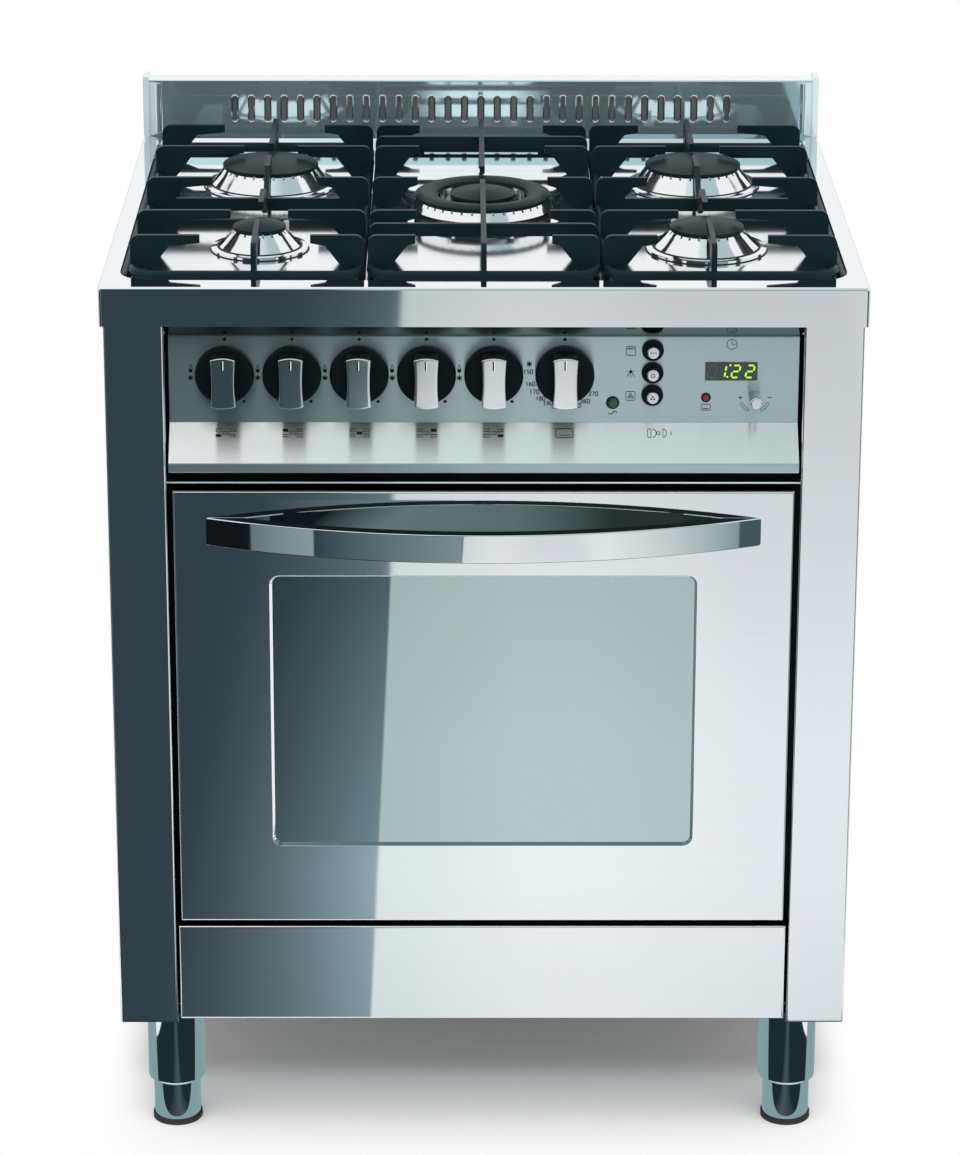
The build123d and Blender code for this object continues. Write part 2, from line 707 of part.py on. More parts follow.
def front_rails():
    """Channel above the fascia, and the thin strip that parts the vent under it."""
    path = [
        (RAIL + RAIL_TOP_FLANGE, RAIL_TOP),
        (RAIL, RAIL_TOP),
        (RAIL, FASCIA_TOP),
        (RAIL + RAIL_FOOT_FLANGE, FASCIA_TOP),
    ]
    channel = along_x(bent_sheet(path, BEND, side_on), -INNER_HALF, INNER_HALF)
    strip_top = LIP_FOOT - VENT_STRIP_DROP
    depth = (FACE + VENT_STRIP_SETBACK, FRAME)
    strip = block((-INNER_HALF, INNER_HALF), depth, (strip_top - VENT_STRIP_THICK, strip_top))
    return [channel, strip]


# Knobs, switches, lamps and clock

def switch_heights():
    return [CONTROL_Z + (1 - i) * SWITCH_PITCH for i in range(len(SWITCH_NAMES))]


def knob_collar(x):
    back = KNOB_FACE - KNOB_STANDOFF
    front = back - COLLAR_THICK
    disc = rod(COLLAR_RADIUS, (x, back, CONTROL_Z), (x, front, CONTROL_Z))
    disc = fillet(disc.faces().sort_by(Axis.Y)[0].edges(), COLLAR_EDGE)
    hub_end = front + GRIP_HUB_DEPTH + SLIDE_GAP
    disc -= rod(GRIP_HUB_RADIUS + SHAFT_GAP, (x, front, CONTROL_Z), (x, hub_end, CONTROL_Z))
    return disc + rod(SPINDLE_RADIUS, (x, back, CONTROL_Z), (x, TAP_Y, CONTROL_Z))


def knob_grip(x):
    """Lever grip with a drawn-in waist, rounded ends and a pointer groove at its top."""
    seat = KNOB_FACE - KNOB_STANDOFF - COLLAR_THICK - SLIDE_GAP
    front = seat - GRIP_DEPTH
    half = GRIP_WIDTH / 2
    waist = GRIP_WAIST / 2
    end = GRIP_LENGTH / 2 - GRIP_BULGE
    tip = GRIP_LENGTH / 2
    edges = [
        ThreePointArc((-half, 0, end), (0, 0, tip), (half, 0, end)),
        ThreePointArc((half, 0, end), (waist, 0, 0), (half, 0, -end)),
        ThreePointArc((half, 0, -end), (0, 0, -tip), (-half, 0, -end)),
        ThreePointArc((-half, 0, -end), (-waist, 0, 0), (-half, 0, end)),
    ]
    grip = Pos(x, seat, CONTROL_Z) * extrude(make_face(edges), amount=GRIP_DEPTH, dir=(0, -1, 0))
    grip = fillet(grip.faces().sort_by(Axis.Y)[0].edges(), GRIP_EDGE)
    groove = (CONTROL_Z + tip - NOTCH_LENGTH, CONTROL_Z + 2 * tip)
    sides = (x - NOTCH_WIDTH / 2, x + NOTCH_WIDTH / 2)
    grip -= block(sides, (front - NOTCH_DEPTH, front + NOTCH_DEPTH), groove)
    hub_back = seat + SLIDE_GAP + GRIP_HUB_DEPTH
    return grip + rod(GRIP_HUB_RADIUS, (x, seat, CONTROL_Z), (x, hub_back, CONTROL_Z))


def switch_body(z):
    bore = BUTTON_RADIUS + SHAFT_GAP
    back = KNOB_FACE + BARREL_LENGTH
    bezel = rod(BEZEL_RADIUS, (SWITCH_X, KNOB_FACE - BEZEL_THICK, z), (SWITCH_X, KNOB_FACE, z))
    bezel = fillet(bezel.faces().sort_by(Axis.Y)[0].edges(), BUTTON_EDGE)
    body = bezel + rod(BARREL_RADIUS, (SWITCH_X, KNOB_FACE, z), (SWITCH_X, back, z))
    return body - rod(bore, (SWITCH_X, KNOB_FACE - 2 * BEZEL_THICK, z), (SWITCH_X, back - BARREL_WALL, z))


def switch_button(z):
    front = KNOB_FACE - BEZEL_THICK - BUTTON_PROUD
    back = KNOB_FACE + BARREL_LENGTH - BARREL_WALL - BUTTON_TRAVEL - SLIDE_GAP
    button = rod(BUTTON_RADIUS, (SWITCH_X, front, z), (SWITCH_X, back, z))
    return fillet(button.faces().sort_by(Axis.Y)[0].edges(), BUTTON_EDGE)


def pilot_lamp(x, drop, radius):
    z = HOB_HEIGHT - drop
    lens = rod(radius, (x, KNOB_FACE - LAMP_PROUD, z), (x, KNOB_FACE, z))
    lens = fillet(lens.faces().sort_by(Axis.Y)[0].edges(), LAMP_NECK * LAMP_PROUD)
    return lens + rod(LAMP_NECK * radius, (x, KNOB_FACE, z), (x, KNOB_FACE + LAMP_BODY, z))


def clock_module():
    z = HOB_HEIGHT - DISPLAY_DROP
    timer_z = HOB_HEIGHT - TIMER_DROP
    half = DISPLAY_WIDTH / 2
    tall = DISPLAY_HEIGHT / 2
    back = KNOB_FACE_BACK + CLOCK_DEPTH
    wide = (DISPLAY_X - half - CLOCK_MARGIN, DISPLAY_X + half + CLOCK_MARGIN)
    case = block(wide, (KNOB_FACE_BACK, back), (z - tall - CLOCK_MARGIN, z + tall + CLOCK_MARGIN))
    timer = (TIMER_X - TIMER_HOUSING, TIMER_X + TIMER_HOUSING)
    case += block(timer, (KNOB_FACE_BACK, back), (timer_z - TIMER_HOUSING, z))
    pane = half - SHAFT_GAP
    pane_tall = tall - SHAFT_GAP
    window = (KNOB_FACE + DISPLAY_RECESS, KNOB_FACE_BACK)
    case += block((DISPLAY_X - pane, DISPLAY_X + pane), window, (z - pane_tall, z + pane_tall))
    hole_end = KNOB_FACE + TIMER_SHAFT_LENGTH + SLIDE_GAP
    return case - rod(TIMER_SHAFT + SHAFT_GAP, (TIMER_X, KNOB_FACE, timer_z), (TIMER_X, hole_end, timer_z))


def timer_knob():
    z = HOB_HEIGHT - TIMER_DROP
    back = KNOB_FACE - SLIDE_GAP
    knob = rod(TIMER_RADIUS, (TIMER_X, back, z), (TIMER_X, back - TIMER_LENGTH, z))
    knob = fillet(knob.faces().sort_by(Axis.Y)[0].edges(), TIMER_EDGE)
    return knob + rod(TIMER_SHAFT, (TIMER_X, back, z), (TIMER_X, KNOB_FACE + TIMER_SHAFT_LENGTH, z))


# Oven door

def arm_slots():
    """Room for the hinge arms through the door's lower edge and inner side."""
    half = ARM_THICK / 2 + ARM_SLOT_GAP
    depth = (PIVOT_Y - ARM_RADIUS - ARM_SLOT_ROOM, DOOR_BACK + DOOR_DEPTH)
    height = (DOOR_BOTTOM - DOOR_DEPTH, PIVOT_Z + ARM_RADIUS + ARM_SLOT_ROOM)
    return [block((side * ARM_X - half, side * ARM_X + half), depth, height) for side in (-1, 1)]


def window_hole(grow, front, back):
    size = (WINDOW_WIDTH + 2 * grow, WINDOW_HEIGHT + 2 * grow, WINDOW_CORNER + grow)
    return upright_plate(*size, 0, WINDOW_Z, front, back)


def door_skin():
    """Polished tray of the door, with a pressed bevel round the window."""
    back = DOOR_BACK - SHEET
    skin = block((-DOOR_HALF, DOOR_HALF), (FACE, back), (DOOR_BOTTOM, DOOR_TOP))
    skin = fillet(skin.faces().sort_by(Axis.Y)[0].edges(), BEND)
    inside = DOOR_HALF - SHEET
    skin -= block((-inside, inside), (FACE + SHEET, DOOR_BACK), (DOOR_BOTTOM + SHEET, DOOR_TOP - SHEET))
    skin += window_hole(SHEET, FACE + SHEET, FACE + WINDOW_BEVEL)
    size = (WINDOW_WIDTH, WINDOW_HEIGHT, WINDOW_CORNER)
    glass_face = FACE + WINDOW_BEVEL
    small = [edge - 2 * WINDOW_BEVEL for edge in size[:2]] + [WINDOW_CORNER - WINDOW_BEVEL]
    sections = []
    for y, outline in ((FACE, size), (glass_face, small)):
        plane = Plane(origin=(0, y, WINDOW_Z), x_dir=(1, 0, 0), z_dir=(0, -1, 0))
        sections.append(plane * RectangleRounded(*outline))
    skin -= loft(sections)
    return skin - arm_slots()


def door_window():
    return window_hole(GLASS_LAP - WINDOW_BEVEL, FACE + WINDOW_BEVEL, FACE + WINDOW_BEVEL + GLASS)


def door_inner_panel():
    panel = block((-DOOR_HALF, DOOR_HALF), (DOOR_BACK - SHEET, DOOR_BACK), (DOOR_BOTTOM, DOOR_TOP))
    panel -= window_hole(-INNER_WINDOW_INSET, DOOR_BACK - 2 * SHEET, DOOR_BACK + SHEET)
    return panel - arm_slots()


def door_inner_glass():
    back = DOOR_BACK - SHEET
    return window_hole(GLASS_LAP - INNER_WINDOW_INSET, back - GLASS, back)


def door_handle():
    """Flat bar bowed out from the door in a circular arc that ends on the door's face."""
    half = HANDLE_SPAN / 2
    radius = (half ** 2 + HANDLE_REACH ** 2) / (2 * HANDLE_REACH)
    centre = FACE - HANDLE_REACH + radius
    inner = radius - HANDLE_THICK
    inner_half = sqrt(inner ** 2 - (centre - FACE) ** 2)
    edges = [
        ThreePointArc((-half, FACE), (0, FACE - HANDLE_REACH), (half, FACE)),
        Line((half, FACE), (inner_half, FACE)),
        ThreePointArc((inner_half, FACE), (0, centre - inner), (-inner_half, FACE)),
        Line((-inner_half, FACE), (-half, FACE)),
    ]
    bar = extrude(make_face(edges), amount=HANDLE_HEIGHT, dir=(0, 0, 1))
    return Pos(0, 0, HANDLE_TOP - HANDLE_HEIGHT) * bar


def hinge_arm():
    """Arm on the chassis that carries one of the door's pins."""
    x = (ARM_X - ARM_THICK / 2, ARM_X + ARM_THICK / 2)
    arm = block(x, (PIVOT_Y, FRAME), (PIVOT_Z - ARM_HALF_HEIGHT, PIVOT_Z + ARM_HALF_HEIGHT))
    arm += rod(ARM_RADIUS, (x[0], PIVOT_Y, PIVOT_Z), (x[1], PIVOT_Y, PIVOT_Z))
    ends = [(x[0] - ARM_THICK, PIVOT_Y, PIVOT_Z), (x[1] + ARM_THICK, PIVOT_Y, PIVOT_Z)]
    return arm - rod(PIN_RADIUS + SHAFT_GAP, *ends)


def hinge_pivot():
    """Two ears inside the door with the pin between them."""
    inner = ARM_THICK / 2 + EAR_GAP
    outer = inner + EAR_THICK
    depth = (PIVOT_Y - EAR_RADIUS, DOOR_BACK - SHEET)
    height = (PIVOT_Z - EAR_RADIUS, PIVOT_Z + EAR_HEIGHT)
    pivot = rod(PIN_RADIUS, (ARM_X - outer, PIVOT_Y, PIVOT_Z), (ARM_X + outer, PIVOT_Y, PIVOT_Z))
    for side in (-1, 1):
        ear = sorted((ARM_X + side * inner, ARM_X + side * outer))
        pivot += block(ear, depth, height)
    return pivot


# Drawer

def drawer_front():
    back = FACE + DRAWER_FLANGE
    front = block((-DRAWER_HALF, DRAWER_HALF), (FACE, back), (DRAWER_BOTTOM, DRAWER_TOP))
    front = fillet(front.faces().sort_by(Axis.Y)[0].edges(), BEND)
    inside = DRAWER_HALF - SHEET
    height = (DRAWER_BOTTOM + SHEET, DRAWER_TOP - SHEET)
    return front - block((-inside, inside), (FACE + SHEET, back + SHEET), height)


def drawer_tray():
    floor = RUNNER_TOP + SLIDE_GAP
    top = DRAWER_TOP - TRAY_TOP_DROP
    front = FACE + SHEET
    tray = block((-TRAY_HALF_WIDTH, TRAY_HALF_WIDTH), (front, front + TRAY_DEPTH), (floor, top))
    inside = TRAY_HALF_WIDTH - SHEET
    depth = (front + SHEET, front + TRAY_DEPTH - SHEET)
    return tray - block((-inside, inside), depth, (floor + SHEET, top + SHEET))


# Feet

def leg_sleeve(x, y):
    foot = BODY_BOTTOM - SLEEVE_LENGTH
    sleeve = rod(SLEEVE_RADIUS, (x, y, foot), (x, y, BODY_BOTTOM))
    sleeve = fillet(sleeve.faces().sort_by(Axis.Z)[0].edges(), SLEEVE_EDGE)
    ends = [(x, y, foot - SLEEVE_EDGE), (x, y, BODY_BOTTOM - SLEEVE_TOP)]
    return sleeve - rod(FOOT_RADIUS + SLEEVE_GAP, *ends)


def foot(x, y):
    pad = rod(FOOT_PAD_RADIUS, (x, y, 0), (x, y, FOOT_PAD_HEIGHT))
    return pad + rod(FOOT_RADIUS, (x, y, 0), (x, y, BODY_BOTTOM - SLEEVE_TOP - SLIDE_GAP))


# Oven

def mouth(grow, front, back):
    """Rounded block of the oven's mouth, grown on every side."""
    size = (OVEN_WIDTH + 2 * grow, OVEN_HEIGHT + 2 * grow, FRAME_CORNER + grow)
    return upright_plate(*size, 0, FAN_Z, front, back)


def oven_front_frame():
    half = INNER_HALF + FRAME_LAP
    plate = block((-half, half), (FRAME, OVEN_FRONT), (DRAWER_TOP - FRAME_FOOT, LIP_FOOT))
    return plate - mouth(0, FRAME - SHEET, OVEN_FRONT + SHEET)


def door_gasket():
    front = DOOR_BACK + SLIDE_GAP
    return mouth(SEAL_MARGIN + SEAL_WIDTH, front, FRAME) - mouth(SEAL_MARGIN, front - SHEET, FRAME + SHEET)


def oven_shell(grow, front, back):
    half = OVEN_HALF + grow
    return block((-half, half), (front, back), (OVEN_FLOOR - grow, OVEN_ROOF + grow))


def oven_cavity():
    cavity = oven_shell(SHEET, OVEN_FRONT, OVEN_BACK + SHEET) - oven_shell(0, OVEN_FRONT - SHEET, OVEN_BACK)
    behind = (OVEN_BACK - SHEET, OVEN_BACK + 2 * SHEET)
    cuts = [rod(FAN_SHAFT_HOLE, (0, behind[0], FAN_Z), (0, behind[1], FAN_Z))]
    lamp_z = OVEN_ROOF - OVEN_LAMP_DROP
    lamp_ends = [(OVEN_LAMP_X, y, lamp_z) for y in behind]
    cuts.append(rod(OVEN_LAMP_BARREL + SHAFT_GAP, *lamp_ends))
    return cavity - cuts


def oven_insulation():
    """Blanket over the roof and down both sides of the oven."""
    half = OVEN_HALF + SHEET + BLANKET
    depth = (OVEN_FRONT + BLANKET_SETBACK, OVEN_BACK + SHEET)
    blanket = block((-half, half), depth, (OVEN_FLOOR - SHEET, OVEN_ROOF + SHEET + BLANKET))
    return blanket - oven_shell(SHEET, OVEN_FRONT, OVEN_BACK + 2 * SHEET)


def rack_ladder():
    """Right-hand ladder of wires that carries the rack, on short pegs to the wall."""
    x = OVEN_HALF - LADDER_INSET
    front = OVEN_FRONT + LADDER_FRONT
    back = OVEN_BACK - LADDER_REAR
    ladder = None
    for y in (front, back):
        post = rod(LADDER_ROD, (x, y, OVEN_FLOOR + LADDER_FOOT), (x, y, OVEN_FLOOR + LADDER_HEAD))
        ladder = post if ladder is None else ladder + post
        for level in LADDER_PEGS:
            z = OVEN_FLOOR + level
            ladder += rod(LADDER_PEG, (x, y, z), (OVEN_HALF, y, z))
    for level in LADDER_LEVELS:
        z = OVEN_FLOOR + level
        rail = x - LADDER_STEP
        ladder += rod(LADDER_ROD, (rail, front - LADDER_INSET, z), (rail, back + LADDER_INSET, z))
    return ladder


def oven_rack():
    z = OVEN_FLOOR + RACK_LEVEL + LADDER_ROD + RACK_ROD + SLIDE_GAP
    half = OVEN_HALF - LADDER_INSET - LADDER_STEP - RACK_ROD
    front = OVEN_FRONT + RACK_SETBACK
    back = front + RACK_DEPTH
    frame = [(-half, front), (half, front), (half, back), (-half, back)]
    rack = None
    for start, end in zip(frame, frame[1:] + frame[:1]):
        bar = rod(RACK_ROD, (*start, z), (*end, z)) + Pos(*start, z) * Sphere(RACK_ROD)
        rack = bar if rack is None else rack + bar
    step = 2 * half / (RACK_WIRES + 1)
    for i in range(RACK_WIRES):
        x = -half + (i + 1) * step
        rack += rod(RACK_WIRE, (x, front, z), (x, back, z))
    return rack


def grill_element():
    """Heating rod bent to and fro under the roof, both ends in the back wall."""
    z = OVEN_ROOF - GRILL_DROP
    near = OVEN_FRONT + GRILL_FRONT
    far = OVEN_BACK - GRILL_FRONT
    first = -GRILL_PITCH * (GRILL_RUNS - 1) / 2
    points = [(first, OVEN_BACK, z)]
    for i in range(GRILL_RUNS):
        x = first + i * GRILL_PITCH
        ends = (near, far) if i % 2 else (far, near)
        points += [(x, y, z) for y in ends]
    points[1:2] = []
    points[-1] = (points[-1][0], OVEN_BACK, z)
    return pipe(GRILL_ROD, GRILL_TURN, points)


def fan_baffle():
    front = OVEN_BACK - BAFFLE_GAP - SHEET
    back = OVEN_BACK - BAFFLE_GAP
    wide = BAFFLE_WIDTH / 2
    tall = BAFFLE_HEIGHT / 2
    plate = block((-wide, wide), (front, back), (FAN_Z - tall, FAN_Z + tall))
    for sx in (-1, 1):
        for sz in (-1, 1):
            x = sx * (wide - BAFFLE_POST_INSET)
            z = FAN_Z + sz * (tall - BAFFLE_POST_INSET)
            plate += rod(BAFFLE_POST, (x, back, z), (x, OVEN_BACK, z))
    plane = Plane(origin=(0, front, FAN_Z), z_dir=(0, -1, 0))
    ring = plane * PolarLocations(BAFFLE_INTAKE_RING, BAFFLE_INTAKES)
    intake = Cylinder(BAFFLE_INTAKE, BAFFLE_GAP)
    return plate - [place * intake for place in ring]


def fan_blade():
    back = OVEN_BACK - FAN_WALL_GAP
    disc = rod(FAN_RADIUS, (0, back - FAN_DISC, FAN_Z), (0, back, FAN_Z))
    hub_front = back - FAN_DISC - FAN_BLADE_DEPTH
    disc += rod(FAN_HUB, (0, hub_front, FAN_Z), (0, back, FAN_Z))
    length = (FAN_HUB - FAN_BLADE_THICK, FAN_RADIUS - FAN_BLADE_THICK)
    blade = block(length, (hub_front, back - FAN_DISC / 2), (-FAN_BLADE_THICK / 2, FAN_BLADE_THICK / 2))
    for i in range(FAN_BLADES):
        disc += Pos(0, 0, FAN_Z) * Rot(0, i * 360 / FAN_BLADES, 0) * blade
    return disc + rod(FAN_SHAFT, (0, back, FAN_Z), (0, OVEN_BACK + SHEET + FAN_SHAFT_LENGTH, FAN_Z))


def fan_motor():
    seat = OVEN_BACK + SHEET
    back = seat + MOTOR_FLANGE + MOTOR_LENGTH
    motor = rod(MOTOR_FLANGE_RADIUS, (0, seat, FAN_Z), (0, seat + MOTOR_FLANGE, FAN_Z))
    motor += rod(MOTOR_RADIUS, (0, seat, FAN_Z), (0, back, FAN_Z))
    hole_end = seat + FAN_SHAFT_LENGTH + SLIDE_GAP
    return motor - rod(FAN_SHAFT + SHAFT_GAP, (0, seat - SHEET, FAN_Z), (0, hole_end, FAN_Z))


def oven_lamp():
    x = OVEN_LAMP_X
    z = OVEN_ROOF - OVEN_LAMP_DROP
    lamp = rod(OVEN_LAMP_RADIUS, (x, OVEN_BACK - OVEN_LAMP_RIM, z), (x, OVEN_BACK, z))
    lamp += rod(OVEN_LAMP_BARREL, (x, OVEN_BACK - OVEN_LAMP_DOME, z), (x, OVEN_BACK + OVEN_LAMP_BODY, z))
    return fillet(lamp.faces().sort_by(Axis.Y)[0].edges(), OVEN_LAMP_RIM)


def oven_burner():
    """Tube burner hung under the oven floor on two posts."""
    z = OVEN_FLOOR - SHEET - OVEN_BURNER_DROP
    front = OVEN_FRONT + OVEN_BURNER_FRONT
    back = front + OVEN_BURNER_LENGTH
    burner = rod(OVEN_BURNER_RADIUS, (0, front, z), (0, back, z))
    for y in (front + OVEN_BURNER_FRONT, back - OVEN_BURNER_FRONT):
        burner += rod(OVEN_BURNER_POST, (0, y, z), (0, y, OVEN_FLOOR - SHEET))
    return burner


# Hob burners

def flame_slots(radius, count, top):
    """Slots round a crown, cut in from its rim."""
    slot = Pos(radius, 0, top) * Box(2 * FLAME_SLOT_DEPTH, FLAME_SLOT_WIDTH, FLAME_SLOT_HEIGHT)
    return [Rot(0, 0, i * 360 / count) * slot for i in range(count)]


def burner_body(cap, base, cup, slots):
    """Cup under the hob, flat base ring and conical crown that carries the cap."""
    rim = cap - CAP_LAP
    points = [
        (0, -CUP_DEPTH),
        (cup, -CUP_DEPTH),
        (cup, 0),
        (base, 0),
        (base, BASE_RING),
        (base - BASE_STEP, BASE_RING + BASE_LIP),
        (rim, CROWN_HEIGHT),
        (0, CROWN_HEIGHT),
    ]
    return turned(points) - flame_slots(rim, slots, CROWN_HEIGHT)


def centre_body():
    """Ring crown with an inner crown, parted by a deep groove."""
    rim = RING_OUTER - CAP_LAP
    inner_rim = INNER_CAP - CAP_LAP
    groove = RING_INNER - CAP_LAP
    points = [
        (0, -CUP_DEPTH),
        (CENTRE_CUP, -CUP_DEPTH),
        (CENTRE_CUP, 0),
        (CENTRE_BASE, 0),
        (CENTRE_BASE, BASE_RING),
        (CENTRE_WALL, BASE_RING + BASE_LIP),
        (CENTRE_WALL, CENTRE_WALL_HEIGHT),
        (rim, CROWN_HEIGHT),
        (groove, CROWN_HEIGHT),
        (groove, BASE_RING),
        (inner_rim, BASE_RING),
        (inner_rim, CROWN_HEIGHT + INNER_RISE),
        (0, CROWN_HEIGHT + INNER_RISE),
    ]
    return turned(points) - flame_slots(rim, CENTRE_SLOT_COUNT, CROWN_HEIGHT)


def domed_cap(radius, seat):
    """Round cap with a flat seat, an upright edge and a low dome."""
    rise = CAP_DOME - CAP_EDGE
    sphere = (radius ** 2 + rise ** 2) / (2 * rise)
    middle = seat + CAP_DOME - sphere + sqrt(sphere ** 2 - radius ** 2 / 4)
    edges = [
        Line((0, 0, seat), (radius, 0, seat)),
        Line((radius, 0, seat), (radius, 0, seat + CAP_EDGE)),
        ThreePointArc((radius, 0, seat + CAP_EDGE), (radius / 2, 0, middle), (0, 0, seat + CAP_DOME)),
        Line((0, 0, seat + CAP_DOME), (0, 0, seat)),
    ]
    return revolve(make_face(edges), axis=Axis.Z)


def ring_cap():
    """Ring of the centre burner with a rounded upper side."""
    foot = CROWN_HEIGHT
    edge = foot + CAP_EDGE
    crest = ((RING_OUTER + RING_INNER) / 2, 0, foot + RING_CAP_HEIGHT)
    edges = [
        Line((RING_INNER, 0, foot), (RING_OUTER, 0, foot)),
        Line((RING_OUTER, 0, foot), (RING_OUTER, 0, edge)),
        ThreePointArc((RING_OUTER, 0, edge), crest, (RING_INNER, 0, edge)),
        Line((RING_INNER, 0, edge), (RING_INNER, 0, foot)),
    ]
    return revolve(make_face(edges), axis=Axis.Z)


def burner_places():
    return {name: Pos(row[0], FRONT + row[1], WELL_FLOOR) for name, row in BURNERS.items()}


def burner_bodies():
    places = burner_places()
    bodies = [places[name] * burner_body(*row[2:], SLOT_COUNTS[name]) for name, row in BURNERS.items()]
    return bodies + [Pos(CENTRE_BURNER[0], FRONT + CENTRE_BURNER[1], WELL_FLOOR) * centre_body()]


def burner_caps():
    places = burner_places()
    caps = [places[name] * domed_cap(row[2], CROWN_HEIGHT) for name, row in BURNERS.items()]
    middle = Pos(CENTRE_BURNER[0], FRONT + CENTRE_BURNER[1], WELL_FLOOR)
    return caps + [middle * ring_cap(), middle * domed_cap(INNER_CAP, CROWN_HEIGHT + INNER_RISE)]


def plug_places():
    """Spark plugs stand just outside each base ring, behind the burner and on the hob's middle side."""
    places = []
    bases = [(x, y, base) for x, y, _, base, _ in BURNERS.values()] + [(*CENTRE_BURNER, CENTRE_BASE)]
    for x, y, base in bases:
        side = -1 if x > 0 else 1
        reach = base + PLUG_GAP + PLUG_COLLAR_RADIUS
        turn = radians(PLUG_TURN)
        places.append((x + side * reach * cos(turn), FRONT + y + reach * sin(turn)))
    return places


def spark_plugs():
    plugs = []
    for x, y in plug_places():
        plug = rod(PLUG_RADIUS, (x, y, WELL_FLOOR - PLUG_TAIL), (x, y, WELL_FLOOR + PLUG_RISE))
        plugs.append(plug + rod(PLUG_COLLAR_RADIUS, (x, y, WELL_FLOOR), (x, y, WELL_FLOOR + PLUG_COLLAR)))
    return plugs


# Grates

def fin(length, foot):
    """Upright fin along +X from its frame bar: rounded shoulder, level top, thin tip, sloping brace."""
    points = [
        (0, 0, foot),
        (0, 0, GRATE_RISE),
        (length, 0, GRATE_RISE),
        (length, 0, GRATE_RISE - FIN_TIP),
        (FIN_SLOPE_START, 0, GRATE_RISE - FIN_TIP - FIN_NECK),
        (FIN_BASE, 0, foot),
    ]
    outline = FilletPolyline(*points, radius=[0, FIN_CORNER, 0, 0, 0, 0], close=True)
    plate = extrude(make_face(outline.edges()), amount=FIN_THICK, dir=(0, 1, 0))
    return Pos(0, -FIN_THICK / 2, 0) * plate


def fin_at(x, y, turn, length):
    return Pos(x, y, HOB_HEIGHT) * Rot(0, 0, turn) * fin(length, -GRATE_DROP)


def grate_frame(left, right):
    """Round bar bent into a rectangle, on four pads."""
    z = HOB_HEIGHT - GRATE_DROP
    corners = [
        (left + GRATE_BAR, FRONT + GRATE_FRONT + GRATE_BAR, z),
        (right - GRATE_BAR, FRONT + GRATE_FRONT + GRATE_BAR, z),
        (right - GRATE_BAR, FRONT + GRATE_REAR - GRATE_BAR, z),
        (left + GRATE_BAR, FRONT + GRATE_REAR - GRATE_BAR, z),
    ]
    loop = FilletPolyline(*corners, radius=GRATE_CORNER, close=True)
    frame = sweep(Plane(origin=loop @ 0, z_dir=loop % 0) * Circle(GRATE_BAR), path=loop)
    for x in (left + GRATE_PAD_INSET, right - GRATE_PAD_INSET):
        for y in (corners[0][1], corners[2][1]):
            frame += rod(GRATE_PAD_RADIUS, (x, y, WELL_FLOOR + SLIDE_GAP), (x, y, z))
    return frame


def cross_plate(left, right, y, foot, head):
    half = FIN_THICK / 2
    return block((left, right), (y - half, y + half), (HOB_HEIGHT + foot, HOB_HEIGHT + head))


def mid_fin(x):
    """Two-armed plate that rises from the cross plate towards the front and the rear burner."""
    low = -GRATE_DROP
    high = GRATE_RISE
    under = GRATE_RISE - FIN_TIP
    front_tip, rear_tip = MID_FIN_TIPS
    front_shoulder, rear_shoulder = MID_FIN_SHOULDERS
    points = [
        (MID_ROW - MID_FOOT, low),
        (front_shoulder - MID_FOOT, under - FIN_NECK),
        (front_tip, under),
        (front_tip, high),
        (front_shoulder, high),
        (MID_ROW - FIN_THICK, CROSS_RISE),
        (MID_ROW + FIN_THICK, CROSS_RISE),
        (rear_shoulder, high),
        (rear_tip, high),
        (rear_tip, under),
        (rear_shoulder + MID_FOOT, under - FIN_NECK),
        (MID_ROW + MID_FOOT, low),
    ]
    face = make_face(Polyline(*[(0, FRONT + y, HOB_HEIGHT + z) for y, z in points], close=True))
    return along_x(face, x - FIN_THICK / 2, x + FIN_THICK / 2)


def side_grate(left, right, middle):
    """Grate over a front and a rear burner, whose fins point at the burners' common axis."""
    first = left + FIN_INSET
    last = right - FIN_INSET
    grate = grate_frame(left, right)
    for row in FIN_ROWS:
        gap = LONG_FIN_GAP if row in LONG_ROWS else SHORT_FIN_GAP
        grate += fin_at(first, FRONT + row, 0, middle - gap - first)
        grate += fin_at(last, FRONT + row, 180, last - middle - gap)
    front_bar = GRATE_FRONT + FIN_INSET
    rear_bar = GRATE_REAR - FIN_INSET
    grate += fin_at(middle, FRONT + front_bar, 90, FRONT_FIN_TIP - front_bar)
    grate += fin_at(middle, FRONT + rear_bar, -90, rear_bar - REAR_FIN_TIP)
    foot = -GRATE_DROP - FIN_NECK
    grate += cross_plate(left + GRATE_BAR, right - GRATE_BAR, FRONT + MID_ROW, foot, CROSS_RISE)
    return grate + mid_fin(middle)


def centre_grate(left, right):
    """Grate over the ring burner: short side fins, two full-width bars and long fins fore and aft."""
    middle = (left + right) / 2
    half = (right - left) / 2 - FIN_INSET
    grate = grate_frame(left, right)
    for row in FIN_ROWS:
        grate += fin_at(middle - half, FRONT + row, 0, CENTRE_FIN)
        grate += fin_at(middle + half, FRONT + row, 180, CENTRE_FIN)
    reach = half - FIN_CORNER
    for row in CENTRE_BARS:
        foot = GRATE_RISE - CENTRE_BAR_HEIGHT
        grate += cross_plate(middle - reach, middle + reach, FRONT + row, foot, GRATE_RISE)
        grate += fin_at(middle - half, FRONT + row, 0, FIN_SLOPE_START + FIN_BASE)
        grate += fin_at(middle + half, FRONT + row, 180, FIN_SLOPE_START + FIN_BASE)
    front_tip, rear_tip = CENTRE_FIN_GAP
    front_bar = GRATE_FRONT + FIN_INSET
    rear_bar = GRATE_REAR - FIN_INSET
    grate += fin_at(middle, FRONT + front_bar, 90, front_tip - front_bar)
    return grate + fin_at(middle, FRONT + rear_bar, -90, rear_bar - rear_tip)


# Gas and mains

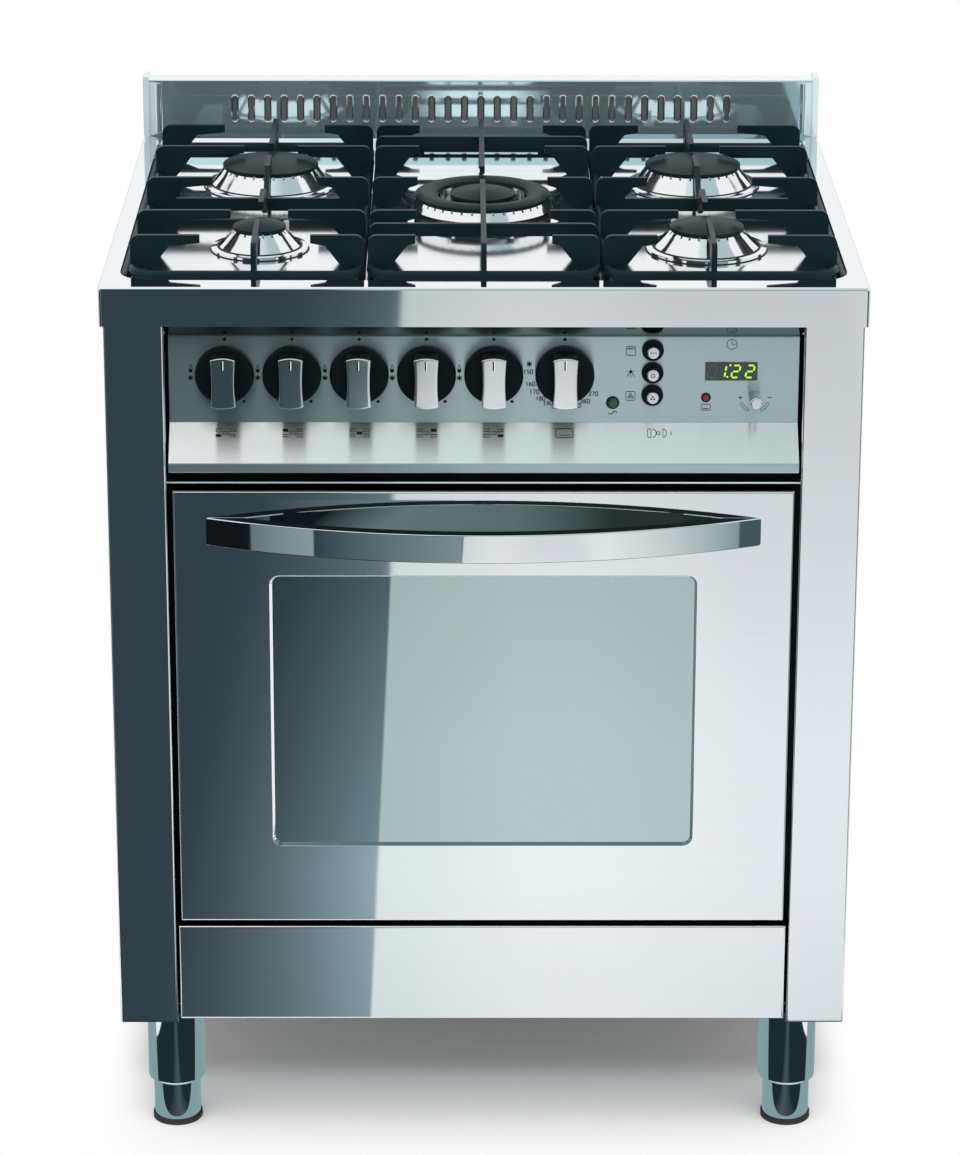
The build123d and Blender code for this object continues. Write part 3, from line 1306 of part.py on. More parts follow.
def gas_tap(x):
    """Tap body on the manifold, with a nose against the fascia for its spindle."""
    half = TAP_WIDTH / 2
    tall = TAP_HEIGHT / 2
    tap = block((x - half, x + half), (TAP_FRONT, TAP_BACK), (CONTROL_Z - tall, CONTROL_Z + tall))
    tap += rod(TAP_NOSE, (x, KNOB_FACE_BACK, CONTROL_Z), (x, TAP_FRONT, CONTROL_Z))
    outlet = CONTROL_Z + tall + TAP_OUTLET_RISE
    tap += rod(TAP_OUTLET, (x, TAP_Y, CONTROL_Z), (x, TAP_Y, outlet))
    bore_end = TAP_BACK - TAP_BORE_END
    return tap - rod(SPINDLE_RADIUS + SHAFT_GAP, (x, KNOB_FACE, CONTROL_Z), (x, bore_end, CONTROL_Z))


def gas_pipes():
    """Manifold with its inlet, a pipe to each hob burner and one to the oven burner."""
    start = (min(KNOBS.values()) - MANIFOLD_OVERHANG, MANIFOLD_Y, CONTROL_Z)
    corner = (SUPPLY_X, MANIFOLD_Y, CONTROL_Z)
    end = (SUPPLY_X, REAR + SHEET, CONTROL_Z)
    manifold = pipe(MANIFOLD_RADIUS, MANIFOLD_BEND, [start, corner, end])
    nut_end = (SUPPLY_X, REAR + SHEET + INLET_NUT, CONTROL_Z)
    manifold += rod(INLET_NUT_RADIUS, end, nut_end)
    manifold += rod(INLET_RADIUS, nut_end, (SUPPLY_X, nut_end[1] + INLET_LENGTH, CONTROL_Z))
    outlet = CONTROL_Z + TAP_HEIGHT / 2 + TAP_OUTLET_RISE
    pipes = [manifold]
    places = {name: row[:2] for name, row in BURNERS.items()} | {"centre": CENTRE_BURNER}
    for name, x in BURNER_KNOBS.items():
        burner_x, burner_y = places[name]
        level = CUP_FOOT - PIPE_LEVEL - (PIPE_STEP if name == "rear_right" else 0)
        points = [
            (x, TAP_Y, outlet),
            (x, TAP_Y, level),
            (x, FRONT + burner_y, level),
            (burner_x, FRONT + burner_y, level),
            (burner_x, FRONT + burner_y, CUP_FOOT),
        ]
        pipes.append(pipe(PIPE_RADIUS, PIPE_BEND, points))
    foot = CONTROL_Z - TAP_HEIGHT / 2
    burner_z = OVEN_FLOOR - SHEET - OVEN_BURNER_DROP
    points = [
        (OVEN_KNOB_X, TAP_Y, foot),
        (OVEN_KNOB_X, TAP_Y, foot - OVEN_PIPE_DROP),
        (OVEN_PIPE_X, TAP_Y, foot - OVEN_PIPE_DROP),
        (OVEN_PIPE_X, TAP_Y, burner_z),
        (0, TAP_Y, burner_z),
        (0, OVEN_FRONT + OVEN_BURNER_FRONT, burner_z),
    ]
    return pipes + [pipe(PIPE_RADIUS, PIPE_BEND, points)]


def mains_terminal_box():
    half = BOX_WIDTH / 2
    seat = REAR + SHEET
    top = HOB_HEIGHT - BOX_DROP
    foot = top - BOX_HEIGHT
    box = block((BOX_X - half, BOX_X + half), (seat, seat + BOX_DEPTH), (foot, top))
    y = seat + BOX_DEPTH / 2
    gland_foot = foot - GLAND_LENGTH
    box += rod(GLAND_RADIUS, (BOX_X, y, gland_foot), (BOX_X, y, foot))
    return box - rod(GLAND_BORE, (BOX_X, y, gland_foot), (BOX_X, y, gland_foot + GLAND_BORE_DEPTH))


# Nodes

save("hob_top", hob_top())
save("back_guard", back_guard())
left_side = side_panel()
save("side_panel_left", drilled(left_side, -1))
save("side_panel_right", drilled(mirrored(left_side), 1))
save("rear_panel", rear_panel())
save("rear_screws", *rear_screws())
save("base_pan", *base_pan())
save("control_panel", control_panel())
save("front_rails", *front_rails())
for name, x in KNOBS.items():
    save(f"{name}_knob_collar", knob_collar(x))
    save(f"{name}_knob_grip", knob_grip(x))
save("switch_bodies", *[switch_body(z) for z in switch_heights()])
for name, z in zip(SWITCH_NAMES, switch_heights()):
    save(name, switch_button(z))
save("pilot_lamps", pilot_lamp(*GREEN_LAMP), pilot_lamp(*RED_LAMP))
save("clock_module", clock_module())
save("timer_knob", timer_knob())
save("door_skin", door_skin())
save("door_window", door_window())
save("door_inner_panel", door_inner_panel())
save("door_inner_glass", door_inner_glass())
save("door_handle", door_handle())
arm = hinge_arm()
save("hinge_arms", arm, mirrored(arm))
pivot = hinge_pivot()
save("door_hinge_pivots", pivot, mirrored(pivot))
save("drawer_front", drawer_front())
save("drawer_tray", drawer_tray())
save("leg_sleeves", *[leg_sleeve(x, y) for x, y in LEGS])
save("feet", *[foot(x, y) for x, y in LEGS])
save("oven_front_frame", oven_front_frame())
save("door_gasket", door_gasket())
save("oven_cavity", oven_cavity())
save("oven_insulation", oven_insulation())
ladder = rack_ladder()
save("rack_ladders", ladder, mirrored(ladder))
save("oven_rack", oven_rack())
save("grill_element", grill_element())
save("fan_baffle", fan_baffle())
save("fan_blade", fan_blade())
save("fan_motor", fan_motor())
save("oven_lamp", oven_lamp())
save("oven_burner", oven_burner())
save("burner_bodies", *burner_bodies())
save("burner_caps", *burner_caps())
save("spark_plugs", *spark_plugs())
save("left_grate", side_grate(-GRATE_OUTER, -GRATE_INNER, BURNERS["front_left"][0]))
save("centre_grate", centre_grate(-GRATE_CENTRE, GRATE_CENTRE))
save("right_grate", side_grate(GRATE_INNER, GRATE_OUTER, BURNERS["front_right"][0]))
save("gas_taps", *[gas_tap(x) for x in KNOBS.values()])
save("gas_pipes", *gas_pipes())
save("mains_terminal_box", mains_terminal_box())
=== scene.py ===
import json
import math

import bpy
import numpy as np
from mathutils import Matrix

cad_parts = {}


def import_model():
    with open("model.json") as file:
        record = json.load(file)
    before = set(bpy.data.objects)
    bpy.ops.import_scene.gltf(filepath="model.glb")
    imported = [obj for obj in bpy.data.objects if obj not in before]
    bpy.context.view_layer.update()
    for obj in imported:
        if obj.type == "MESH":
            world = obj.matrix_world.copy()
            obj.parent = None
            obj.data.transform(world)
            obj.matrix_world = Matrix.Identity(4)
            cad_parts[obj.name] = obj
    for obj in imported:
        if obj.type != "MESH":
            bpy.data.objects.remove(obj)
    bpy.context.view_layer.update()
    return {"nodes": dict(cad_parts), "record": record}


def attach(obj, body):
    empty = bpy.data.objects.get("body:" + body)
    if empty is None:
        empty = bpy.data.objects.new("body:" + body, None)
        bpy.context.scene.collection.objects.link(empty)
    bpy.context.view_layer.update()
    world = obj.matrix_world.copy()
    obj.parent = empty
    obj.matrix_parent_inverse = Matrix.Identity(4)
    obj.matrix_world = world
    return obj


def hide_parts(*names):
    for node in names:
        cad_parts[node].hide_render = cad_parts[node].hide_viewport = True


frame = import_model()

MM = 0.001
nodes = frame["nodes"]

# The photograph's height and its lens's focal length, in pixels
PHOTO_HEIGHT = 1155
FOCAL = 4060.5

# Places that the pieces share with the solids, in millimetres
FRONT = -276.5
FACE = -273.5
KNOB_FACE = -256.5
GUARD_FACE = 299.5
SIDE = 346.5
APRON_SIDE = 350.0
CHEEK = 336.0
WELL = 845.0


# Mesh kit: a shell is an array of points in millimetres and a list of face arrays

def grid_faces(rows, columns, wrap_rows=False, wrap_columns=False):
    """Quads between neighbours of a grid of points; a wrapped side also joins its last line to its first."""
    r = np.arange(rows if wrap_rows else rows - 1)[:, None]
    c = np.arange(columns if wrap_columns else columns - 1)[None, :]
    r_next = (r + 1) % rows
    c_next = (c + 1) % columns
    corners = [r * columns + c, r * columns + c_next, r_next * columns + c_next, r_next * columns + c]
    return np.stack(np.broadcast_arrays(*corners), -1).reshape(-1, 4)


def joined(*shells):
    """One shell out of several: points stacked, face numbers moved on by the points before them."""
    points = np.concatenate([shell[0] for shell in shells])
    starts = np.cumsum([0] + [len(shell[0]) for shell in shells])
    faces = [array + start for shell, start in zip(shells, starts) for array in shell[1]]
    return points, faces


def moved(shell, shift=(0, 0, 0), turn=None):
    """A shell turned by a 3 by 3 matrix, then shifted."""
    points = shell[0] if turn is None else shell[0] @ np.asarray(turn, float).T
    return points + np.asarray(shift, float), shell[1]


def flipped(shell):
    """The same shell with its faces turned over."""
    return shell[0], [array[:, ::-1] for array in shell[1]]


def loft(rows):
    """Closed rings of points, one per row, joined by quads, with the first and last ring filled."""
    rows = np.asarray(rows, float)
    count, ring = rows.shape[:2]
    first = np.arange(ring)[None, ::-1]
    last = np.arange(ring)[None, :] + (count - 1) * ring
    return rows.reshape(-1, 3), [grid_faces(count, ring, wrap_columns=True), first, last]


def turned_ring(profile, count=96):
    """A closed profile of radius and height turned about Z: x = r cos t, y = r sin t."""
    profile = np.asarray(profile, float)
    t = np.linspace(0, 2 * math.pi, count, endpoint=False)
    radius, height = profile.T
    level = np.tile(height, (count, 1))
    rows = np.stack([np.outer(np.cos(t), radius), np.outer(np.sin(t), radius), level], -1)
    return outward((rows.reshape(-1, 3), [grid_faces(count, len(profile), True, True)]))


def arc(centre, radius, start, end, count):
    """Points of a circle's arc between two angles in degrees."""
    t = np.radians(np.linspace(start, end, count))
    return np.stack([centre[0] + radius * np.cos(t), centre[1] + radius * np.sin(t)], -1)


def outward(shell):
    """A closed shell with its faces out: the volume summed over each face's fan of triangles is positive."""
    points, faces = shell
    volume = 0.0
    for array in faces:
        first = points[array[:, 0]]
        for k in range(1, array.shape[1] - 1):
            volume += np.einsum("ij,ij->", first, np.cross(points[array[:, k]], points[array[:, k + 1]]))
    return shell if volume > 0 else flipped(shell)


def inset(outline, distance):
    """An anticlockwise outline moved inwards along the bisector of each corner."""
    before = outline - np.roll(outline, 1, 0)
    after = np.roll(outline, -1, 0) - outline
    sides = []
    for step in (before, after):
        sides.append(np.stack([step[:, 1], -step[:, 0]], -1) / np.linalg.norm(step, axis=1)[:, None])
    bisector = sides[0] + sides[1]
    bisector /= np.einsum("ij,ij->i", bisector, sides[0])[:, None]
    return outline - distance * bisector


def rounded(width, height, radius, count=6):
    """Anticlockwise outline of a rectangle with round corners about the origin."""
    x, z = width / 2 - radius, height / 2 - radius
    corners = [((x, -z), -90), ((x, z), 0), ((-x, z), 90), ((-x, -z), 180)]
    return np.concatenate([arc(centre, radius, start, start + 90, count) for centre, start in corners])


def raised(outline, levels):
    """An outline across X and Z stacked along Y; a level is a depth and how far the outline is drawn in."""
    rows = []
    for depth, drawn in levels:
        ring = inset(outline, drawn) if drawn else outline
        rows.append(np.stack([ring[:, 0], np.full(len(ring), depth), ring[:, 1]], -1))
    return outward(loft(rows))


def ribbon(path, width, depth, closed=False):
    """A printed line: a rectangle of a width and a depth along -Y, carried along a path across X and Z."""
    path = np.asarray(path, float)
    if closed:
        ahead = np.roll(path, -1, 0) - np.roll(path, 1, 0)
    else:
        ahead = np.gradient(path, axis=0)
    ahead /= np.linalg.norm(ahead, axis=1)[:, None]
    aside = np.stack([-ahead[:, 1], ahead[:, 0]], -1) * width / 2
    edges = [(path + aside, 0.0), (path + aside, -depth), (path - aside, -depth), (path - aside, 0.0)]
    rings = np.stack([np.stack([line[:, 0], np.full(len(line), y), line[:, 1]], -1) for line, y in edges], 1)
    if closed:
        return outward((rings.reshape(-1, 3), [grid_faces(len(path), 4, True, True)]))
    return outward(loft(rings))


def disc(radius, depth, count=20):
    """A printed dot: a round outline raised along -Y."""
    return raised(arc((0, 0), radius, 0, 360 - 360 / count, count), [(0, 0), (-depth, 0)])


def swept(path, profile):
    """A profile of aside and outward steps carried round a path across X and Z; outward is -Y."""
    path = np.asarray(path, float)
    ahead = np.roll(path, -1, 0) - np.roll(path, 1, 0)
    ahead /= np.linalg.norm(ahead, axis=1)[:, None]
    aside = np.stack([ahead[:, 1], -ahead[:, 0]], -1)
    rows = []
    for step, proud in profile:
        line = path + step * aside
        rows.append(np.stack([line[:, 0], np.full(len(line), -proud), line[:, 1]], -1))
    rings = np.stack(rows, 1)
    return outward((rings.reshape(-1, 3), [grid_faces(len(path), len(profile), True, True)]))


def put(name, shell, material, body, replaces=(), smooth=40):
    """A shell as a piece: mesh in metres, smooth under an angle, riding on a body."""
    points, face_arrays = shell
    mesh = bpy.data.meshes.new(name)
    loops = np.concatenate([array.ravel() for array in face_arrays])
    totals = np.concatenate([np.full(len(array), array.shape[1]) for array in face_arrays])
    mesh.vertices.add(len(points))
    mesh.vertices.foreach_set("co", (np.asarray(points) * MM).ravel())
    mesh.loops.add(len(loops))
    mesh.loops.foreach_set("vertex_index", loops.astype(np.int32))
    mesh.polygons.add(len(totals))
    mesh.polygons.foreach_set("loop_start", (np.cumsum(totals) - totals).astype(np.int32))
    mesh.polygons.foreach_set("loop_total", totals.astype(np.int32))
    mesh.polygons.foreach_set("use_smooth", np.ones(len(totals), bool))
    mesh.update(calc_edges=True)
    mesh.validate()
    mesh.set_sharp_from_angle(angle=math.radians(smooth))
    piece = bpy.data.objects.new(name, mesh)
    bpy.context.scene.collection.objects.link(piece)
    mesh.materials.append(material)
    weighted = piece.modifiers.new("flats", "WEIGHTED_NORMAL")
    weighted.keep_sharp = True
    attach(piece, body)
    if replaces:
        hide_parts(*replaces)
    return piece


# Material kit

def node(tree, kind, settings=None, **inputs):
    """A shader node with its settings; an input is a value or another node's socket, by name or _number."""
    made = tree.nodes.new("ShaderNode" + kind)
    for key, value in (settings or {}).items():
        setattr(made, key, value)
    for key, value in inputs.items():
        socket = made.inputs[int(key[1:]) if key[0] == "_" else key.replace("_", " ")]
        if isinstance(value, bpy.types.NodeSocket):
            tree.links.new(value, socket)
        else:
            socket.default_value = value
    return made


def ramp(tree, factor, stops):
    """A colour ramp with stops of place and colour."""
    made = node(tree, "ValToRGB", Fac=factor)
    elements = made.color_ramp.elements
    while len(elements) < len(stops):
        elements.new(0.5)
    for element, (place, colour) in zip(elements, stops):
        element.position = place
        element.color = (*colour, 1)
    return made.outputs["Color"]


def spread(tree, factor, low, high):
    """A value moved from 0..1 to low..high."""
    return node(tree, "MapRange", Value=factor, _3=low, _4=high).outputs["Result"]


def mapped(tree, value, low, high, kind="LINEAR"):
    """A value's place between low and high, from 0 to 1."""
    settings = {"interpolation_type": kind}
    return node(tree, "MapRange", settings, Value=value, _1=low, _2=high).outputs["Result"]


def worked(tree, operation, *values):
    """The result of one step of arithmetic."""
    inputs = {f"_{k}": value for k, value in enumerate(values)}
    return node(tree, "Math", {"operation": operation}, **inputs).outputs[0]


def group(name, inputs, outputs):
    """An empty shader node group with named value or vector sockets."""
    tree = bpy.data.node_groups.new(name, "ShaderNodeTree")
    kinds = {"v": "NodeSocketVector", "f": "NodeSocketFloat"}
    for label, kind in inputs.items():
        tree.interface.new_socket(label, in_out="INPUT", socket_type=kinds[kind])
    for label, kind in outputs.items():
        tree.interface.new_socket(label, in_out="OUTPUT", socket_type=kinds[kind])
    entry = tree.nodes.new("NodeGroupInput")
    exit_node = tree.nodes.new("NodeGroupOutput")
    return tree, entry.outputs, exit_node.inputs


def brushing_group():
    """Sheet metal's drawn grain: noise stretched along one way, and a slow smudge over it."""
    sockets = {"Place": "v", "Stretch": "v", "Smudge": "f"}
    tree, given, result = group("brushing", sockets, {"Grain": "f", "Smear": "f"})
    stretched = node(tree, "VectorMath", {"operation": "MULTIPLY"}, _0=given["Place"], _1=given["Stretch"])
    fine = node(tree, "TexNoise", Vector=stretched.outputs[0], Scale=1.0, Detail=3.0, Roughness=0.7)
    slow = node(tree, "TexNoise", Vector=given["Place"], Scale=given["Smudge"], Detail=4.0, Roughness=0.6)
    tree.links.new(fine.outputs["Fac"], result["Grain"])
    tree.links.new(slow.outputs["Fac"], result["Smear"])
    return tree


def skin_group():
    """Cast or moulded skin: fine pebbling for the bump, broad mottling for tone."""
    sockets = {"Place": "v", "Pebble": "f", "Mottle": "f"}
    tree, given, result = group("cast_skin", sockets, {"Pebbling": "f", "Tone": "f"})
    pebble = node(tree, "TexNoise", Vector=given["Place"], Scale=given["Pebble"], Detail=2.0, Roughness=0.55)
    mottle = node(tree, "TexNoise", Vector=given["Place"], Scale=given["Mottle"], Detail=3.0, Roughness=0.6)
    tree.links.new(pebble.outputs["Fac"], result["Pebbling"])
    tree.links.new(mottle.outputs["Fac"], result["Tone"])
    return tree


BRUSHING = brushing_group()
SKIN = skin_group()


def finish(name, **values):
    """A material whose shader holds the finish's constant values."""
    made = bpy.data.materials.new(name)
    made.use_nodes = True
    shader = made.node_tree.nodes["Principled BSDF"]
    for key, value in values.items():
        shader.inputs[key.replace("_", " ")].default_value = value
    return made, made.node_tree, shader


def shade(colour, factor):
    """A colour darkened or lightened by a factor."""
    return tuple(min(1.0, part * factor) for part in colour)


def bumped(tree, normal, distance, height):
    """A bump over the normal given, if there is one; the distance is the height's reach in metres."""
    made = node(tree, "Bump", Strength=1.0, Distance=distance, Height=height)
    if normal is not None:
        tree.links.new(normal, made.inputs["Normal"])
    return made.outputs["Normal"]


def metal(name, colour, rough, stretch, smudge=3.0, grain_bump=0.0, wave=0.0, dish=None, tone=0.04, **values):
    """Drawn or polished metal: grain moves its tone, smears its roughness, a slow wave bends its reflection.

    A dish tilts the sheet between two places along Y by a rise, all in metres."""
    made, tree, shader = finish(name, **{"Metallic": 1.0, **values})
    place = node(tree, "TexCoord").outputs["Object"]
    grain = {"Place": place, "Stretch": stretch, "Smudge": smudge}
    brushed = node(tree, "Group", {"node_tree": BRUSHING}, **grain).outputs
    base = ramp(tree, brushed["Grain"], [(0.3, shade(colour, 1 - tone)), (0.7, shade(colour, 1 + tone))])
    tree.links.new(base, shader.inputs["Base Color"])
    tree.links.new(spread(tree, brushed["Smear"], *rough), shader.inputs["Roughness"])
    normal = None
    if dish:
        start, end, rise = dish
        depth = node(tree, "SeparateXYZ", _0=place).outputs["Y"]
        normal = bumped(tree, normal, rise, mapped(tree, depth, start, end))
    if wave:
        slow = node(tree, "TexNoise", Vector=place, Scale=2.6, Detail=0.0)
        normal = bumped(tree, normal, wave, slow.outputs["Fac"])
    if grain_bump:
        normal = bumped(tree, normal, grain_bump, brushed["Grain"])
    if normal is not None:
        tree.links.new(normal, shader.inputs["Normal"])
    return made


def skinned(name, colour, rough, pebble, mottle=9.0, bump=0.00004, tone=0.25, **values):
    """Enamel, cast iron, rubber or plastic: mottled tone and roughness, and a pebbled bump."""
    made, tree, shader = finish(name, **values)
    place = node(tree, "TexCoord").outputs["Object"]
    skin = node(tree, "Group", {"node_tree": SKIN}, Place=place, Pebble=pebble, Mottle=mottle).outputs
    base = ramp(tree, skin["Tone"], [(0.3, shade(colour, 1 - tone)), (0.7, shade(colour, 1 + tone))])
    tree.links.new(base, shader.inputs["Base Color"])
    tree.links.new(spread(tree, skin["Tone"], *rough), shader.inputs["Roughness"])
    tree.links.new(bumped(tree, None, bump, skin["Pebbling"]), shader.inputs["Normal"])
    return made


STEEL = (0.83, 0.87, 0.89)
ALONG_X = (6.0, 900.0, 900.0)
ALONG_Z = (900.0, 900.0, 6.0)
EVEN = (400.0, 400.0, 400.0)

polished_steel = metal("polished_steel", STEEL, (0.02, 0.045), ALONG_X, wave=0.0004, tone=0.015)
brushed_steel = metal(
    "brushed_steel", (0.55, 0.67, 0.69), (0.32, 0.38), ALONG_X, grain_bump=0.000002, Anisotropic=1.0)
ledge_steel = metal(
    "ledge_steel", (0.96, 0.985, 0.985), (0.25, 0.29), ALONG_X, tone=0.02, grain_bump=0.000001,
    Anisotropic=1.0)
for brushed in (brushed_steel, ledge_steel):
    tree = brushed.node_tree
    up_the_face = node(tree, "CombineXYZ", Z=1.0).outputs[0]
    tree.links.new(up_the_face, tree.nodes["Principled BSDF"].inputs["Tangent"])
# Painted shade: the brow's steel is darkened for the shade under the apron
brow_painted_shade = metal("brow_painted_shade", (0.155, 0.19, 0.2), (0.04, 0.07), ALONG_X, tone=0.02)
well_steel = metal(
    "well_steel", STEEL, (0.08, 0.13), ALONG_X, tone=0.03, wave=0.0012, dish=(0.10, 0.27, 0.038))
guard_steel = metal(
    "guard_steel", (0.60, 0.80, 0.84), (0.05, 0.08), ALONG_X, tone=0.02, wave=0.0005, Metallic=0.85)
cheek_steel = metal("cheek_steel", (0.72, 0.85, 0.86), (0.08, 0.14), ALONG_Z, tone=0.02, Metallic=0.35)
side_steel = metal(
    "side_steel", (0.68, 0.72, 0.73), (0.32, 0.42), ALONG_Z, tone=0.05, wave=0.0006, grain_bump=0.000003,
    Metallic=0.35)
# Darker steel for the window bevel's right and lower sides: painted shade
bead_shade = metal("bead_shade", (0.15, 0.22, 0.22), (0.15, 0.22), EVEN, tone=0.02)
plain_steel = metal("plain_steel", (0.55, 0.57, 0.58), (0.3, 0.42), EVEN, tone=0.06)
chrome = metal("chrome", (0.80, 0.83, 0.84), (0.03, 0.06), EVEN, tone=0.01)
wire_chrome = metal("wire_chrome", (0.74, 0.75, 0.76), (0.1, 0.18), EVEN, tone=0.05)
satin_metal = metal("satin_metal", (0.78, 0.81, 0.82), (0.16, 0.24), ALONG_Z, tone=0.04)
burner_alloy = metal("burner_alloy", (0.84, 0.87, 0.88), (0.06, 0.11), EVEN, tone=0.03)
brass = metal("brass", (0.72, 0.52, 0.22), (0.25, 0.4), EVEN, tone=0.08)
gas_steel = metal("gas_steel", (0.5, 0.5, 0.5), (0.3, 0.45), EVEN, tone=0.08)
heater = metal("heater", (0.2, 0.2, 0.21), (0.45, 0.6), EVEN, tone=0.15)

COOL = (0.5, 0.84, 0.95, 1)
cast_iron = skinned(
    "cast_iron", (0.005, 0.013, 0.016), (0.34, 0.46), 1400.0, bump=0.00005,
    Specular_IOR_Level=0.2, Specular_Tint=COOL)
cap_enamel = skinned(
    "cap_enamel", (0.008, 0.017, 0.020), (0.36, 0.46), 1600.0, bump=0.00003,
    Specular_IOR_Level=0.14, Specular_Tint=COOL)
oven_enamel = skinned("oven_enamel", (0.014, 0.015, 0.017), (0.12, 0.22), 300.0, bump=0.00002)
frame_enamel = skinned(
    "frame_enamel", (0.005, 0.008, 0.009), (0.25, 0.35), 300.0, bump=0.00002,
    Specular_IOR_Level=0.12, Specular_Tint=COOL)
knob_plastic = skinned(
    "knob_plastic", (0.003, 0.005, 0.006), (0.3, 0.4), 2200.0, bump=0.00001,
    Specular_IOR_Level=0.14, Specular_Tint=COOL)
clock_black = skinned("clock_black", (0.018, 0.02, 0.02), (0.15, 0.25), 900.0, bump=0.000005)
rubber = skinned("rubber", (0.02, 0.02, 0.02), (0.7, 0.85), 900.0, bump=0.0001)
wool = skinned("wool", (0.55, 0.52, 0.42), (0.9, 1.0), 160.0, bump=0.001, tone=0.15)
ceramic = skinned("ceramic", (0.52, 0.52, 0.5), (0.25, 0.4), 400.0, tone=0.05)
motor_grey = skinned("motor_grey", (0.2, 0.21, 0.22), (0.45, 0.6), 600.0)
terminal_plastic = skinned("terminal_plastic", (0.03, 0.03, 0.032), (0.4, 0.55), 1200.0)

mirror_glass = metal("mirror_glass", (0.455, 0.565, 0.565), (0.004, 0.008), EVEN, tone=0.01, wave=0.0002)
lamp_lens = skinned("lamp_lens", (0.004, 0.035, 0.017), (0.1, 0.2), 500.0, Coat_Weight=0.3)
warm_lens = skinned("warm_lens", (0.10, 0.012, 0.008), (0.1, 0.2), 500.0, Coat_Weight=0.3)
print_ink = skinned(
    "print_ink", (0.006, 0.007, 0.007), (0.5, 0.6), 1500.0, bump=0.000002, Specular_IOR_Level=0.2)
# Pale finish for the pointer groove's right side: a painted highlight
groove_painted_highlight = skinned("groove_painted_highlight", (0.75, 0.78, 0.78), (0.4, 0.5), 1500.0, bump=0.000002, tone=0.04)
lever_steel = metal("lever_steel", (0.80, 0.84, 0.85), (0.07, 0.11), ALONG_Z, tone=0.02)
handle_top = skinned(
    "handle_top", (0.004, 0.008, 0.010), (0.4, 0.5), 900.0, bump=0.000002, tone=0.1, Specular_IOR_Level=0.02)
display_glass = skinned(
    "display_glass", (0.016, 0.024, 0.026), (0.08, 0.14), 300.0, bump=0.000001, Coat_Weight=0.5)
lit_digit = skinned(
    "lit_digit", (0.10, 0.2, 0.01), (0.3, 0.4), 900.0, bump=0.000001, Emission_Color=(0.48, 1.0, 0.012, 1),
    Emission_Strength=1.0)
dim_digit = skinned("dim_digit", (0.045, 0.06, 0.058), (0.3, 0.4), 900.0, bump=0.000001)

FINISHES = {
    "polished_steel": polished_steel,
    "plain_steel": plain_steel,
    "black_enamel": oven_enamel,
    "chrome_trim": chrome,
    "chrome_wire": wire_chrome,
    "knob_black": knob_plastic,
    "knob_metal": satin_metal,
    "oven_glass": mirror_glass,
    "pilot_lens": lamp_lens,
    "clock_black": clock_black,
    "burner_alloy": burner_alloy,
    "burner_cap": cap_enamel,
    "cast_grate": cast_iron,
    "ceramic_white": ceramic,
    "tap_brass": brass,
    "gas_steel": gas_steel,
    "insulation_wool": wool,
    "seal_rubber": rubber,
    "heater_rod": heater,
    "motor_grey": motor_grey,
    "terminal_plastic": terminal_plastic,
}
NODE_FINISHES = {"control_panel": brushed_steel, "back_guard": guard_steel, "oven_front_frame": frame_enamel}
for part in frame["record"]["subparts"]:
    name = part["node"]
    material = NODE_FINISHES.get(name, FINISHES[part["material_slot"]])
    solid = nodes[name]
    solid.data.materials.clear()
    solid.data.materials.append(material)


def zone(solid, material, picked):
    """A second finish on the faces that are picked by their centres' x, y and z in millimetres."""
    mesh = solid.data
    centres = np.empty(len(mesh.polygons) * 3)
    mesh.polygons.foreach_get("center", centres)
    index = np.empty(len(mesh.polygons), np.int32)
    mesh.polygons.foreach_get("material_index", index)
    mesh.materials.append(material)
    index[picked(*(centres.reshape(-1, 3) / MM).T)] = len(mesh.materials) - 1
    mesh.polygons.foreach_set("material_index", index)


def in_well(x, y, z):
    """The hob's pressed well, inside its rim."""
    return (z < WELL + 2) & (z > WELL - 7) & (np.abs(x) < 335) & (y > -262) & (y < 290)


def on_ledge(x, y, z):
    """The fascia's sloping ledge."""
    return (z > 690.5) & (z < 720.5) & (y < KNOB_FACE - 0.7) & (y > -285)


zone(nodes["hob_top"], well_steel, in_well)
zone(nodes["control_panel"], ledge_steel, on_ledge)
zone(nodes["back_guard"], cheek_steel, lambda x, y, z: np.abs(x) > CHEEK)
for side in ("left", "right"):
    zone(nodes["side_panel_" + side], side_steel, lambda x, y, z: np.abs(x) > SIDE - 0.3)
zone(nodes["hob_top"], side_steel, lambda x, y, z: (np.abs(x) > APRON_SIDE - 0.5) & (z < 853))
zone(nodes["back_guard"], side_steel, lambda x, y, z: (y > GUARD_FACE + 0.7) & (np.abs(x) < CHEEK))
zone(nodes["front_rails"], cheek_steel, lambda x, y, z: (z > 663) & (z < 667.5) & (y < -262))
zone(nodes["back_guard"], ledge_steel, lambda x, y, z: (z > 914.5) & (np.abs(x) < CHEEK))
zone(nodes["feet"], rubber, lambda x, y, z: z < 5.2)
zone(nodes["pilot_lamps"], warm_lens, lambda x, y, z: x > 160)


# Knob levers: a metal face on a black body

KNOB_X = {
    "front_left": -237.0, "rear_left": -175.5, "centre": -114.0, "rear_right": -52.5, "front_right": 9.0,
    "oven": 74.0}
CONTROL_Z = 769.0
LEVER_FRONT = -294.3
LEVER_HALF = 22.0
LEVER_EDGE = 0.7
LEVER_WAIST = 10.3
LEVER_FLARE = 1.3
LEVER_BOW = 2.0


def crown(z):
    """How far the lever's face falls back from its middle: 0.5 (z/24)^2."""
    return 0.5 * (z / 24) ** 2


